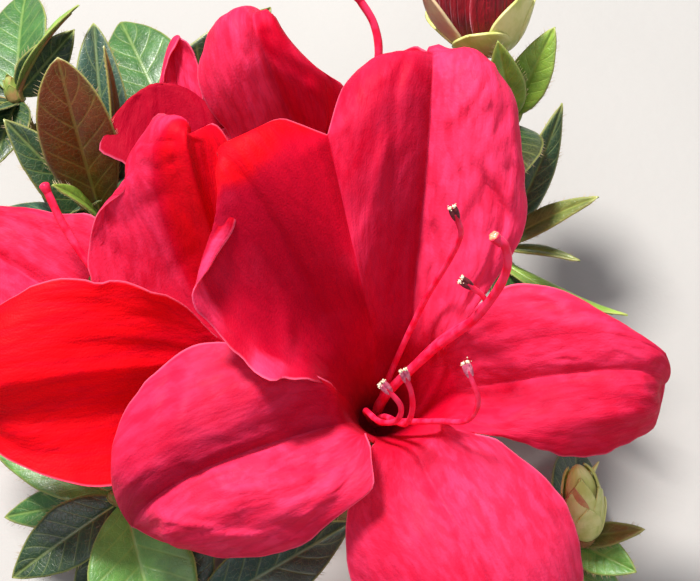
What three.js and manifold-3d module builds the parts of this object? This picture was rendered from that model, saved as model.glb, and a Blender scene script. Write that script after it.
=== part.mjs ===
// A cut flowering branch of a red garden azalea, lying on level ground.
// Millimetres, +Z up. The origin is on the ground, under the middle of the branch.
// The blooms face up and towards the viewer, so their places are given in a tilted view frame:
// right, up (away from the viewer) and out (towards the viewer), about the mouth of the front bloom.
import * as THREE from "three";
import {
  mergeGeometries,
  mergeVertices,
} from "three/addons/utils/BufferGeometryUtils.js";
import Module from "manifold-3d";

const wasm = await Module();
wasm.setup();

// Driving dimensions, in millimetres and degrees.
const LOOK_DOWN = 58; // how steeply the view frame looks down on the branch
const MOUTH_PLACE = [23.8, 16, 42]; // the front bloom's mouth in the part's own frame
const PETAL_THICK = 0.6;
const LEAF_THICK = 0.5;
const CLEARANCE = 0.35; // the gap between pieces that touch on the plant
const SMALL_STEP = 0.1; // detail smaller than this is left out of a joined solid
const GROUND_GAP = 0.3; // how close a drooping leaf comes to the ground
const SOFT_LANDING = 3; // height over which a drooping leaf bends to lie flat

const RED = { color: 0xd4143c, roughness: 0.55, metalness: 0 };
const GREEN = { color: 0x3f6b34, roughness: 0.45, metalness: 0 };
const BARK = { color: 0x6b4a35, roughness: 0.85, metalness: 0 };
const STALK = { color: 0x7d8a3c, roughness: 0.6, metalness: 0 };
const BUD_RED = { color: 0x8c1020, roughness: 0.5, metalness: 0 };
const BUD_GREEN = { color: 0xc2bc6a, roughness: 0.6, metalness: 0 };

const tilt = THREE.MathUtils.degToRad(LOOK_DOWN);
const RIGHT = new THREE.Vector3(1, 0, 0);
const UP = new THREE.Vector3(0, Math.sin(tilt), Math.cos(tilt));
const OUT = new THREE.Vector3(0, -Math.cos(tilt), Math.sin(tilt));
const MOUTH = new THREE.Vector3(...MOUTH_PLACE);

// A direction, and a point, of the view frame in the part's own frame.
function toward([right, up, out]) {
  return new THREE.Vector3()
    .addScaledVector(RIGHT, right)
    .addScaledVector(UP, up)
    .addScaledVector(OUT, out);
}

function at(place) {
  return toward(place).add(MOUTH);
}

const smooth = (x) => {
  const c = Math.min(1, Math.max(0, x));
  return c * c * (3 - 2 * c);
};
const mix = (a, b, share) => a + (b - a) * share;

// A seeded run of numbers from 0 to 1.
function numbers(seed) {
  let state = seed;
  return () => {
    state = (state * 1664525 + 1013904223) % 4294967296;
    return state / 4294967296;
  };
}

// Lowers nothing below the ground: near it a point is eased to lie just above.
function landed(point) {
  if (point.z < SOFT_LANDING) {
    const depth = (SOFT_LANDING - point.z) / (SOFT_LANDING - GROUND_GAP);
    point.z = GROUND_GAP + (SOFT_LANDING - GROUND_GAP) * Math.exp(-depth);
  }
  return point;
}

// Solids

function solidOf(geometry) {
  const bare = geometry.clone();
  bare.deleteAttribute("normal");
  bare.deleteAttribute("uv");
  const merged = mergeVertices(bare, 1e-4);
  const make = (triVerts) =>
    new wasm.Manifold(
      new wasm.Mesh({
        numProp: 3,
        vertProperties: merged.attributes.position.array,
        triVerts,
      }),
    );
  const triVerts = new Uint32Array(merged.index.array);
  const made = make(triVerts);
  return made.volume() < 0 ? make(triVerts.reverse()) : made;
}

// Moves each vertex of a geometry by a rule that takes and gives a Vector3.
function reshaped(geometry, rule) {
  const places = geometry.attributes.position;
  const point = new THREE.Vector3();
  for (let i = 0; i < places.count; i++) {
    point.fromBufferAttribute(places, i);
    const moved = rule(point);
    places.setXYZ(i, moved.x, moved.y, moved.z);
  }
  return geometry;
}

function joined(solids) {
  return solids.reduce((whole, solid) => whole.add(solid));
}

// A solid as one body with one skin, without its smallest steps and slivers.
function plain(solid) {
  return solid.asOriginal().simplify(SMALL_STEP);
}

function largest(solid) {
  return solid
    .decompose()
    .reduce((most, body) => (body.volume() > most.volume() ? body : most));
}

function meshOf(solid, name, look) {
  const { numProp, vertProperties, triVerts } = solid.getMesh();
  const count = vertProperties.length / numProp;
  const places = new Float32Array(count * 3);
  for (let i = 0; i < count; i++)
    places.set(vertProperties.subarray(i * numProp, i * numProp + 3), i * 3);
  const geometry = new THREE.BufferGeometry();
  geometry.setAttribute("position", new THREE.BufferAttribute(places, 3));
  geometry.setIndex(new THREE.BufferAttribute(triVerts, 1));
  geometry.computeVertexNormals();
  const mesh = new THREE.Mesh(geometry, new THREE.MeshStandardMaterial(look));
  mesh.name = name;
  return mesh;
}

// A round limb along a smooth route, its radius given along its length from 0 to 1.
function limb(route, radiusAt, sides, steps) {
  const curve = new THREE.CatmullRomCurve3(route, false, "centripetal");
  const frames = curve.computeFrenetFrames(steps, false);
  const tube = new THREE.CylinderGeometry(1, 1, 1, sides, steps);
  return solidOf(
    reshaped(tube, (p) => {
      const step = Math.round((p.y + 0.5) * steps);
      const radius = radiusAt(step / steps);
      return curve
        .getPointAt(step / steps)
        .addScaledVector(frames.normals[step], p.x * radius)
        .addScaledVector(frames.binormals[step], p.z * radius);
    }),
  );
}

// A flat grid laid over a surface: surface(s, t) gives a point, s from 0 at the foot to 1 at the
// tip, t from -1 to 1 across.
function laid(surface, along, across) {
  const grid = new THREE.PlaneGeometry(2, 1, across, along);
  grid.deleteAttribute("normal");
  grid.deleteAttribute("uv");
  return reshaped(grid, (p) => surface(p.y + 0.5, p.x));
}

// A sheet made solid: thick over its face and closed at its rim. A reach makes it that much
// bigger on all sides.
function thickened(sheet, thick, reach) {
  const whole = mergeVertices(sheet, 1e-4);
  whole.computeVertexNormals();
  const { position, normal } = whole.attributes;
  const index = whole.index.array;
  const pick = (from, i) => new THREE.Vector3().fromBufferAttribute(from, i);

  const rim = new Map();
  for (let i = 0; i < index.length; i++) {
    const a = index[i];
    const b = index[i % 3 === 2 ? i - 2 : i + 1];
    if (!rim.delete(`${b} ${a}`)) rim.set(`${a} ${b}`, [a, b]);
  }

  const outward = Array.from({ length: position.count }, () => new THREE.Vector3());
  for (const [a, b] of rim.values()) {
    const edge = pick(position, b).sub(pick(position, a));
    const out = edge.cross(pick(normal, a)).normalize();
    outward[a].add(out);
    outward[b].add(out);
  }

  const places = [];
  for (const way of [1, -1])
    for (let i = 0; i < position.count; i++)
      places.push(
        ...pick(position, i)
          .addScaledVector(pick(normal, i), way * (thick / 2 + reach))
          .add(outward[i].setLength(reach)),
      );

  const triVerts = [...index];
  const back = position.count;
  for (let i = 0; i < index.length; i += 3)
    triVerts.push(index[i] + back, index[i + 2] + back, index[i + 1] + back);
  for (const [a, b] of rim.values())
    triVerts.push(b, a, a + back, b, a + back, b + back);

  return new wasm.Manifold(
    new wasm.Mesh({
      numProp: 3,
      vertProperties: new Float32Array(places),
      triVerts: new Uint32Array(triVerts),
    }),
  );
}

// Blooms

const LOBES = 5;
const SECTOR = Math.PI / LOBES; // half of a lobe's share of the tube
const TUBE_FOOT_RADIUS = 2.4;
const TUBE_FLARE = 1.7; // how late the funnel opens
const LOBE_START = 0.32; // where along a lobe, from the foot of the tube, it leaves the tube
const LOBE_FREE = 0.56; // where it has its own shape
const ROOT_LEVEL = 0.82; // how far up the tube the free lobe's midrib starts
const CREST = 0.72; // where the gull-wing section turns down again, in half turns

// The funnel: level 0 is its foot and 1 its mouth.
function funnel(bloom, level, angle) {
  const { foot, mouth, mouthRadius } = bloom;
  const axis = toward(mouth).sub(toward(foot)).normalize();
  const e1 = RIGHT.clone().addScaledVector(axis, -RIGHT.dot(axis)).normalize();
  const e2 = axis.clone().cross(e1);
  const radius = mix(TUBE_FOOT_RADIUS, mouthRadius, level ** TUBE_FLARE);
  return at(foot)
    .lerp(at(mouth), level)
    .addScaledVector(e1, radius * Math.cos(angle))
    .addScaledVector(e2, radius * Math.sin(angle));
}

// How wide a lobe is along its free length, as a share of its widest.
function lobeWidth(v, footShare, widest, blunt) {
  if (v < widest)
    return mix(footShare, 1, Math.sin((Math.PI / 2) * (v / widest)));
  const past = (v - widest) / (1 - widest);
  return Math.max(0.05, (1 - past ** 2.4) ** (1 / blunt));
}

// One lobe of a bloom's corolla, from the foot of the tube to the lobe's tip.
function lobeSurface(bloom, lobe) {
  const angle = THREE.MathUtils.degToRad(lobe.angle);
  const root = funnel(bloom, ROOT_LEVEL, angle);
  const rise = funnel(bloom, ROOT_LEVEL + 0.05, angle).sub(root).normalize();
  const axisPoint = at(bloom.foot).lerp(at(bloom.mouth), ROOT_LEVEL);
  const inward = axisPoint.sub(root).normalize();
  const tip = at(lobe.tip);
  const belly = at(lobe.belly);
  const leave = root
    .clone()
    .addScaledVector(rise, 0.28 * root.distanceTo(tip));
  const arrive = belly
    .clone()
    .multiplyScalar(8)
    .sub(root)
    .addScaledVector(leave, -3)
    .sub(tip)
    .divideScalar(3);
  const midrib = new THREE.CubicBezierCurve3(root, leave, arrive, tip);
  const face = toward(lobe.face).normalize();
  const footShare = (bloom.mouthRadius * 0.5) / lobe.right;

  const free = (v, t) => {
    const along = midrib.getTangent(Math.max(1e-3, v));
    const facing = inward.clone().lerp(face, smooth(v / 0.5)).normalize();
    const side = along.clone().cross(facing).normalize();
    const normal = side.clone().cross(along);
    const [half, lift] =
      t < 0 ? [lobe.left, lobe.lift[0]] : [lobe.right, lobe.lift[1]];
    const wave = Math.sin(
      2 * Math.PI * (lobe.waves * v + lobe.phase + (t < 0 ? 0.37 : 0)),
    );
    const width =
      half *
      lobeWidth(v, footShare, lobe.widest, lobe.blunt) *
      (1 + lobe.scallop * wave * t * t);
    const a = Math.abs(t);
    const height =
      lobe.fold * width * Math.sin(Math.PI * CREST * a) +
      lobe.cup * width * a * a +
      lift * a * a * Math.sin(Math.PI * Math.min(1, v / 0.7)) +
      lobe.ruffle * a ** 3 * wave * smooth(v / 0.4);
    return midrib
      .getPoint(v)
      .addScaledVector(side, width * t)
      .addScaledVector(normal, height);
  };

  return (s, t) => {
    const level = (s / LOBE_START) * ROOT_LEVEL;
    const tube = funnel(bloom, level, angle - t * SECTOR);
    if (s <= LOBE_START) return tube;
    const v = (s - LOBE_START) / (1 - LOBE_START);
    const share = smooth((s - LOBE_START) / (LOBE_FREE - LOBE_START));
    return tube.lerp(free(v, t), share);
  };
}

const FILAMENT_RADIUS = 0.45;
const STYLE_RADIUS = 0.6;
const ANTHER = { length: 2.6, radius: 0.75 };
const STIGMA = { length: 1.5, radius: 0.95 };

// An egg-shaped body from one point to another, its girth changed by a rule of place and angle.
function egg(foot, tip, radius, around, along, girth = () => 1) {
  const way = tip.clone().sub(foot);
  const half = way.length() / 2;
  const middle = foot.clone().lerp(tip, 0.5);
  const turn = new THREE.Quaternion().setFromUnitVectors(
    new THREE.Vector3(0, 1, 0),
    way.normalize(),
  );
  return solidOf(
    reshaped(new THREE.SphereGeometry(1, around, along), (p) => {
      const swell = radius * girth(p.y, Math.atan2(p.z, p.x));
      const place = new THREE.Vector3(p.x * swell, p.y * half, p.z * swell);
      return place.applyQuaternion(turn).add(middle);
    }),
  );
}

// A stamen or the style, from inside the foot of the tube along its route.
function thread(foot, route, radius, head, reach) {
  const path = [at(foot), ...route.map(at)];
  const end = path[path.length - 1];
  const way = end
    .clone()
    .sub(path[path.length - 2])
    .setLength(head.length / 2 + reach);
  return limb(path, () => radius + reach, 4, 2 * route.length - 2).add(
    egg(end.clone().sub(way), end.clone().add(way), head.radius + reach, 6, 4),
  );
}

// A bloom: five lobes on a funnel, a closed foot, the stamens and the style. A reach makes it
// that much thicker on all sides.
function bloomSolid(bloom, reach = 0) {
  const petals = bloom.lobes.map((lobe) =>
    laid(lobeSurface(bloom, lobe), bloom.rows, 6),
  );
  const corolla =
    reach > 0
      ? joined(petals.map((petal) => thickened(petal, PETAL_THICK, reach)))
      : thickened(mergeGeometries(petals), PETAL_THICK, 0);
  const foot = at(bloom.foot);
  const axis = toward(bloom.mouth).sub(toward(bloom.foot)).normalize();
  const plug = limb(
    [-reach, 1.5, 3].map((level) => foot.clone().addScaledVector(axis, level)),
    (along) => TUBE_FOOT_RADIUS + mix(0.3, 0, along) + reach,
    10,
    2,
  );
  const threads = bloom.stamens.map((route) =>
    thread(bloom.foot, route, FILAMENT_RADIUS, ANTHER, reach),
  );
  const style = thread(bloom.foot, bloom.style, STYLE_RADIUS, STIGMA, reach);
  return joined([corolla, plug, ...threads, style]);
}

// A lobe of a corolla: its angle round the tube, its tip and belly, and its half widths to the
// left and right as seen from its face, with anything about it that isn't usual.
function lobe(angle, tip, belly, left, right, unusual) {
  return {
    angle,
    tip,
    belly,
    left,
    right,
    face: [0, 0, 1],
    widest: 0.55,
    blunt: 1.6,
    fold: 0.2,
    cup: 0,
    ruffle: 0.6,
    scallop: 0.03,
    waves: 2,
    phase: angle / 100,
    lift: [0, 0],
    ...unusual,
  };
}

const FRONT_BLOOM = {
  rows: 10,
  foot: [-2.9, -8.6, -28],
  mouth: [0, 0, 0],
  mouthRadius: 11,
  lobes: [
    lobe(72, [6, 42, -2], [3.2, 24, 0], 13.5, 14, {
      blunt: 2,
      fold: 0.3,
      cup: -0.1,
      lift: [-1.5, 0],
    }),
    lobe(144, [-22.6, 27.6, 9], [-13.9, 15.6, 5], 12.5, 12, {
      cup: 0.05,
      ruffle: 1,
      scallop: 0.12,
      waves: 1.5,
      phase: 0.65,
      lift: [1.5, 1.5],
    }),
    lobe(216, [-34.5, -19.4, -4], [-19.5, -9.6, 2], 13.2, 13, {
      widest: 0.5,
      fold: 0.32,
      cup: -0.12,
      lift: [1.2, -1.5],
    }),
    lobe(288, [16.3, -37.6, -6], [7.5, -19.5, 2], 13.5, 14, {
      fold: 0.16,
      cup: -0.08,
      lift: [1.2, -1.2],
    }),
    lobe(0, [34, -3.5, -5], [19.8, 0.2, 1], 11.5, 10.5, {
      widest: 0.48,
      cup: -0.08,
      lift: [0, -1.2],
    }),
  ],
  stamens: [
    [
      [-1.2, -1.3, -14],
      [3.3, 9.7, -2],
      [6.3, 15.4, 6],
      [7.1, 18.1, 10],
      [6.2, 20.2, 12],
    ],
    [
      [-0.9, -3, -14],
      [5.4, 4.6, -4],
      [10.2, 8.3, 4],
      [10, 10.2, 8],
      [7.8, 11.8, 10],
    ],
    [
      [-4.2, -5.4, -12],
      [-2.4, -6.4, -6],
      [-0.3, -5.6, 0],
      [-0.1, -3.4, 4],
      [-1.9, -1.2, 6],
    ],
    [
      [-1.6, -6.2, -12],
      [0.8, -6.5, -4],
      [1.5, -4.2, 2],
      [1.2, -1.7, 6],
      [0.4, 0.4, 8],
    ],
    [
      [-1, -7, -13],
      [5.1, -5.8, 0],
      [8.3, -5.1, 6],
      [9.3, -2.7, 9],
      [7.9, 1.3, 11],
    ],
  ],
  style: [
    [-1.8, -3.8, -15],
    [4.1, 2.9, -4],
    [9.1, 7.5, 6],
    [11.8, 12.2, 14],
    [12, 14.8, 18],
    [10.9, 16.8, 20],
  ],
};

const LEFT_BLOOM = {
  rows: 9,
  foot: [-15.7, -4.8, -20],
  mouth: [-29.5, 8.2, -12],
  mouthRadius: 9,
  lobes: [
    lobe(270, [-58.6, -4, -6], [-42, 0.3, 0], 12.5, 15.5, {
      face: [-0.2, 0.4, -0.9],
      fold: 0.12,
      cup: 0.1,
    }),
    lobe(342, [-26.9, 30.3, 1], [-25, 20.6, 1], 5.5, 14, {
      face: [-0.2, -0.1, -0.95],
      fold: 0.4,
    }),
    lobe(54, [-30.2, 46.2, -18], [-28.8, 30, -20], 6, 6, {
      fold: 0.3,
    }),
    lobe(126, [-35.9, 36.7, -14], [-34.1, 25.6, -16], 7, 11.5, {
      blunt: 2,
    }),
    lobe(198, [-62.7, 18.2, -14], [-48.5, 14.8, -12], 11, 11, {
      face: [0, 0.3, 0.95],
    }),
  ],
  stamens: [],
  style: [
    [-22, 1, -16],
    [-31, 8, -11],
    [-39.7, 13, -8],
    [-44, 19.2, -6],
    [-46.3, 24.5, -4],
  ],
};

const BACK_BLOOM = {
  rows: 7,
  foot: [-7.2, 11, -38],
  mouth: [-9.9, 27, -18],
  mouthRadius: 8.5,
  lobes: [
    lobe(33, [4.9, 36.4, -23], [-0.9, 30.3, -19], 8, 8),
    lobe(105, [-20.5, 48.8, -13], [-15.9, 37.7, -10], 9.5, 8, { fold: 0.35 }),
    lobe(177, [-27, 24, -21], [-19.3, 24.6, -18], 8, 8),
    lobe(249, [-18.2, 11, -20], [-14.5, 18.5, -17], 8, 8),
    lobe(321, [-0.1, 18.1, -24], [-3.7, 22.6, -18], 8, 8),
  ],
  stamens: [],
  style: [
    [-8.4, 24, -22],
    [-6.4, 33.9, -12],
    [-2.7, 41.5, -8],
    [-3.2, 46, -6],
    [-5.5, 49.5, -4],
  ],
};

// Stalks

const STALK_RADIUS = 0.95;
const CALYX = { start: -3, full: -1.4, rim: -0.4, radius: 3.6, teeth: 6 };

// A direction round an axis, at an angle from the viewer's right.
function spoke(axis, angle) {
  const e1 = RIGHT.clone().addScaledVector(axis, -RIGHT.dot(axis)).normalize();
  const e2 = axis.clone().cross(e1);
  return e1.multiplyScalar(Math.cos(angle)).addScaledVector(e2, Math.sin(angle));
}

// A bloom's stalk, with a calyx cup and five short teeth round the foot of the tube.
function stalkSolid(route, reach) {
  const path = route.map(at);
  const foot = path[path.length - 1];
  const way = foot.clone().sub(path[path.length - 2]).normalize();
  const along = (level) => foot.clone().addScaledVector(way, level);
  const radii = [STALK_RADIUS, CALYX.radius - 0.3, CALYX.radius];
  const cup = limb(
    [CALYX.start, CALYX.full, CALYX.rim + reach].map(along),
    (share) => radii[Math.round(2 * share)] + reach,
    8,
    2,
  );
  const teeth = [0, 1, 2, 3, 4].map((i) => {
    const outward = spoke(way, (i * 2 * Math.PI) / LOBES);
    return egg(
      along(CALYX.full).addScaledVector(outward, CALYX.radius - 0.4),
      along(CALYX.teeth).addScaledVector(outward, CALYX.radius + 2.6),
      0.6 + reach,
      4,
      3,
    );
  });
  const stalk = limb(
    [...path.slice(0, -1), along(CALYX.full)],
    () => STALK_RADIUS + reach,
    7,
    6,
  );
  return joined([stalk, cup, ...teeth]);
}

// A plain tapering twig through places in the view frame.
function twigSolid(route, from, to, steps, reach) {
  const path = route.map(at);
  if (reach > 0) {
    const [first, second] = path;
    path.unshift(first.clone().add(first.clone().sub(second).setLength(reach)));
    const last = path[path.length - 1];
    const before = path[path.length - 2];
    path.push(last.clone().add(last.clone().sub(before).setLength(reach)));
  }
  return limb(path, (along) => mix(from, to, along) + reach, 7, steps);
}

// Leaves

// How wide a leaf is along its length, as a share of its widest: a short stalk, then the blade.
function leafWidth(s) {
  return Math.max(0.09, Math.sin(Math.PI * s ** 0.85) ** 0.85);
}

// One leaf: bowed towards its face and folded up along its midrib.
function leafSurface({ from, way, face, half, bow, fold }) {
  const length = way.length();
  const along = way.clone().normalize();
  const side = along.clone().cross(face).normalize();
  const normal = side.clone().cross(along);
  return (s, t) => {
    const width = half * leafWidth(s);
    const rise = bow * length * 4 * s * (1 - s) + fold * width * Math.abs(t);
    return landed(
      from
        .clone()
        .addScaledVector(way, s)
        .addScaledVector(side, width * t)
        .addScaledVector(normal, rise),
    );
  };
}

// A leaf placed by hand, from its base to its tip in the view frame.
function leaf(base, tip, half, face = [0, 0, 1], bow = 0.05, fold = 0.25) {
  const from = at(base);
  return {
    rows: 5,
    from,
    way: at(tip).sub(from),
    face: toward(face),
    half,
    bow,
    fold,
  };
}

// Leaves round the end of a twig. Each is given as its angle round the twig, how far it leans
// from the twig's line, both in degrees, and its length. A seed makes them a little uneven.
function whorl(top, way, seed, leaves) {
  const next = numbers(seed);
  const axis = toward(way).normalize();
  return leaves.map(([around, lean, length], i) => {
    const angle = THREE.MathUtils.degToRad(around + 16 * (next() - 0.5));
    const slope = THREE.MathUtils.degToRad(lean + 12 * (next() - 0.5));
    const outward = spoke(axis, angle);
    return {
      rows: 4,
      from: at(top).addScaledVector(axis, -0.7 * i),
      way: axis
        .clone()
        .multiplyScalar(length * Math.cos(slope))
        .addScaledVector(outward, length * Math.sin(slope)),
      face: axis
        .clone()
        .multiplyScalar(Math.sin(slope))
        .addScaledVector(outward, -Math.cos(slope)),
      half: length * (0.22 + 0.06 * next()),
      bow: 0.03 + 0.05 * next(),
      fold: 0.2 + 0.2 * next(),
    };
  });
}

function leafySolid({ twig, leaves }, reach = 0) {
  const blades = leaves.map((one) =>
    thickened(laid(leafSurface(one), one.rows, 2), LEAF_THICK, reach),
  );
  const route = twig.map(at);
  const end = route[route.length - 1];
  const way = end.clone().sub(route[route.length - 2]).normalize();
  const bud = egg(
    end.clone().addScaledVector(way, -1),
    end.clone().addScaledVector(way, 3 + reach),
    1.3 + reach,
    6,
    4,
  );
  return joined([twigSolid(twig, 1.1, 0.9, 3, reach), bud, ...blades]);
}

// The branch

const FORK = [-9.5, -10.5, -40]; // where the stem ends and the bloom stalks begin

const made = [];
const rooms = [];

// Adds a piece: its solid, less the room that the pieces before it take up.
function piece(name, look, build) {
  const solid = plain(build(0));
  const clear = rooms.reduce((left, room) => left.subtract(room), solid);
  rooms.push(build(CLEARANCE));
  made.push(meshOf(plain(largest(clear)), name, look));
}

function bloom(name, shape, stalk) {
  piece(`bloom_${name}`, RED, (reach) => bloomSolid(shape, reach));
  piece(`stalk_${name}`, STALK, (reach) =>
    stalkSolid([...stalk, shape.foot], reach),
  );
}

// A twig with leaves, and the bough that carries it.
function shoot(name, bough, twig, leaves) {
  piece(`bough_${name}`, BARK, (reach) => twigSolid(bough, 1.5, 1.2, 8, reach));
  piece(`leaves_${name}`, GREEN, (reach) =>
    leafySolid({ twig: [bough[bough.length - 1], ...twig], leaves }, reach),
  );
}

// The stem, from its cut end along the ground to the fork.
piece("stem", BARK, (reach) =>
  twigSolid(
    [
      [-46, -108.2, 21.2],
      [-38, -79, 2.9],
      [-27, -51.5, -14.4],
      [-17, -28.7, -28.9],
      FORK,
    ],
    2.5,
    1.8,
    16,
    reach,
  ),
);
bloom("front", FRONT_BLOOM, [
  [-8.2, -10.4, -38.4],
  [-5.2, -10.2, -33],
]);
bloom("left", LEFT_BLOOM, [
  [-10.6, -10, -38.6],
  [-11.8, -8.6, -28],
]);
bloom("back", BACK_BLOOM, [
  [-9.6, -8.7, -39.8],
  [-8.6, 3, -42],
]);

// A closed flower bud on its stalk: furled petals that wind once round it.
function budSolid(stalk, tip, radius, folds, reach) {
  const foot = at(stalk[stalk.length - 1]);
  const end = at(tip);
  const way = end.clone().sub(foot).setLength(reach);
  const furled = egg(
    foot.sub(way),
    end.add(way),
    radius + reach,
    4 * folds,
    8,
    (height, angle) =>
      (1 - 0.16 * height) * (1 + 0.06 * Math.sin(folds * angle + 2.2 * height)),
  );
  return twigSolid(stalk, 1.1, 1.1, 3, reach).add(furled);
}

piece("bud_red", BUD_RED, (reach) =>
  budSolid(
    [
      [17.3, 38.6, -26.3],
      [16.6, 41.5, -25],
      [15, 45, -23.5],
    ],
    [5.9, 65.9, -14],
    6.8,
    5,
    reach,
  ),
);
piece("bud_pale", BUD_GREEN, (reach) =>
  budSolid(
    [
      [25.4, -23.8, -16.4],
      [26, -23.4, -15],
      [26.2, -22.8, -14],
    ],
    [23.6, -12.2, -6],
    2.7,
    3,
    reach,
  ),
);

shoot(
  "upper_left",
  [
    [-13, -14, -37],
    [-27, 2, -36],
    [-38, 15, -30],
  ],
  [
    [-40, 18.4, -27.6],
    [-41.5, 20.9, -26],
  ],
  [
    leaf([-41.8, 20.4, -25], [-45.4, 42, -8], 5.2, [0.1, -0.5, 0.85]),
    leaf([-41.8, 20.5, -26], [-54.6, 34.8, -17], 3.6, [0.3, -0.2, 0.9]),
    leaf([-41, 20.8, -27], [-42.9, 49, -22], 3.9, [0.1, -0.2, 0.97]),
    leaf([-41.8, 20.4, -26.5], [-57, 21.6, -18], 3, [0.1, 0.9, 0.35]),
    leaf([-41.5, 20.2, -25.5], [-47, 25.4, -13], 2.2, [0.7, 0.5, 0.2]),
    leaf([-41.2, 21, -26.5], [-40.6, 45, -17], 1.7, [0.9, 0, 0.3]),
    ...whorl([-41, 20, -26.6], [-0.5, 0.6, 0.4], 3, [
      [275, 85, 20],
    ]),
  ],
);
shoot(
  "top",
  [
    [-13, -6, -41],
    [-22, 12, -42],
    [-30.5, 29.5, -33],
  ],
  [
    [-31.4, 31.5, -31.4],
    [-32.2, 33.1, -30],
  ],
  [
    leaf([-33.8, 34.4, -29], [-17.8, 51.6, -24], 5.8, [0.2, -0.3, 0.93]),
    ...whorl([-32, 32.8, -30.4], [-0.2, 0.7, 0.6], 7, [
      [115, 60, 24],
      [165, 80, 24],
      [215, 85, 20],
      [300, 100, 16],
    ]),
  ],
);
shoot(
  "far_left",
  [
    [-20, -28, -30],
    [-41, -2, -34],
    [-53.5, 32, -34],
  ],
  [
    [-54.8, 36.6, -32],
    [-55.8, 39.8, -30],
  ],
  [
    leaf([-55.4, 40.2, -29.5], [-44.4, 50.9, -18], 2.4, [-0.6, 0.6, 0.3]),
    leaf([-55.3, 39.8, -30], [-46, 48.4, -24], 3.2, [0.2, -0.2, 0.95]),
    leaf([-55.4, 39, -30.4], [-57, 28.6, -22], 3.4, [0, 0.5, 0.85]),
    ...whorl([-55.6, 39.4, -30.4], [-0.3, 0.8, 0.5], 11, [
      [90, 70, 22],
      [160, 75, 24],
      [230, 80, 20],
    ]),
  ],
);
shoot(
  "right",
  [
    [-6, -9, -41],
    [3, 2, -42],
    [13, 14, -35],
  ],
  [
    [14.6, 16, -33.4],
    [15.9, 17.7, -32],
  ],
  [
    leaf([15.8, 18, -31], [23.8, 37.6, -22], 2.7, [0.3, -0.3, 0.9]),
    leaf([15.9, 17.7, -31], [28.6, 24.2, -20], 1.9, [0.2, 0.4, 0.85]),
    leaf([15.6, 17.2, -31.6], [26.6, 15.3, -24], 1.3, [0, 0.7, 0.6]),
    leaf([15, 16.2, -33], [32.4, 7.6, -18], 1.8, [0.1, 0.5, 0.8]),
    ...whorl([15.4, 17, -32.6], [0.5, 0.6, 0.5], 17, [
      [300, 110, 22],
      [235, 105, 20],
    ]),
  ],
);
shoot(
  "low_right",
  [
    [-12, -22, -34],
    [5, -25, -31],
    [19.5, -24, -22],
  ],
  [
    [22.5, -24, -20],
    [25, -23.9, -18],
  ],
  [
    leaf([24.6, -24, -17.6], [32.4, -27.2, -11.5], 2.9, [-0.1, 0.2, 0.95]),
    leaf([24.8, -23.8, -17.6], [33.2, -21.2, -10], 1.7, [-0.5, 0.2, 0.8]),
    leaf([24.4, -24.2, -18.6], [30.5, -42, -18], 4.6, [-0.1, 0.1, 0.97]),
    leaf([24, -24, -19], [12, -41, -26], 4.6, [0, 0.3, 0.93]),
    leaf([23.6, -24, -19.6], [28, -12, -38], 4, [0.4, 0.5, 0.7]),
    leaf([23.2, -24, -20], [26, -33, -31], 4, [0.3, 0.3, 0.85]),
  ],
);
shoot(
  "low_left",
  [
    [-19, -29, -28],
    [-28, -24, -26],
    [-35, -20, -21],
  ],
  [
    [-36.6, -19, -19.4],
    [-37.9, -18.3, -18],
  ],
  [
    leaf([-37.9, -18.6, -17.6], [-31, -41, -12], 7.4, [0.1, 0.2, 0.95], 0.04),
    leaf([-38.2, -18.4, -18.6], [-53.4, -29, -17], 4.4, [0.1, 0.3, 0.93]),
    leaf([-38.2, -18, -18.8], [-57, -12, -22], 3.4, [0.1, 0.3, 0.93]),
    leaf([-37.8, -18.6, -19.6], [-56, -21.6, -24], 3.4, [0.1, 0.4, 0.9]),
    leaf([-37, -19, -20], [-44, -38, -22], 4.4, [0, 0.2, 0.95]),
  ],
);
shoot(
  "low_middle",
  [
    [-21.5, -38.5, -21.5],
    [-25, -37, -19.4],
    [-27.2, -35.2, -18.2],
  ],
  [
    [-27.8, -34.6, -17.8],
    [-28.4, -33.8, -17.2],
  ],
  [
    leaf([-28, -34, -17.6], [-6.2, -21.8, -21], 5, [0.1, 0.1, 0.97]),
    leaf([-28.6, -33.6, -17.6], [-29.4, -19, -21], 3.4, [0.2, 0.2, 0.95]),
    leaf([-28, -34.2, -17.8], [-13, -48, -15], 4.6, [0.1, 0.1, 0.97]),
    leaf([-28.6, -34.2, -17.8], [-43, -47, -11], 4.6, [0.1, 0.1, 0.97]),
  ],
);
shoot(
  "under_bud",
  [
    [-5.4, -7.6, -42],
    [4, 13, -41],
    [14.6, 31, -31],
  ],
  [
    [16.2, 34, -29],
    [17.2, 36.4, -27.6],
  ],
  [
    leaf([17, 36.2, -27], [6.4, 44.6, -18.5], 3, [0.5, 0.3, 0.8]),
    leaf([17.2, 36.4, -27], [22.4, 48, -19.5], 3, [-0.3, -0.3, 0.9]),
    leaf([17.2, 36.2, -26.6], [14, 45.4, -15.5], 2.6, [0.1, -0.7, 0.6]),
    ...whorl([16.8, 35.8, -28], [0.1, 0.8, 0.5], 23, [
      [190, 85, 16],
      [260, 95, 18],
    ]),
  ],
);
shoot(
  "back",
  [
    [-9.6, -6, -43],
    [-8, 10, -49],
    [-6, 26, -49],
  ],
  [
    [-5.4, 29.6, -48.6],
    [-5, 32, -48],
  ],
  [
    ...whorl([-5, 31.8, -48.2], [0, 0.9, 0.1], 29, [
      [30, 70, 22],
      [150, 75, 22],
      [205, 85, 20],
      [335, 85, 20],
      [270, 70, 20],
    ]),
  ],
);
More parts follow.
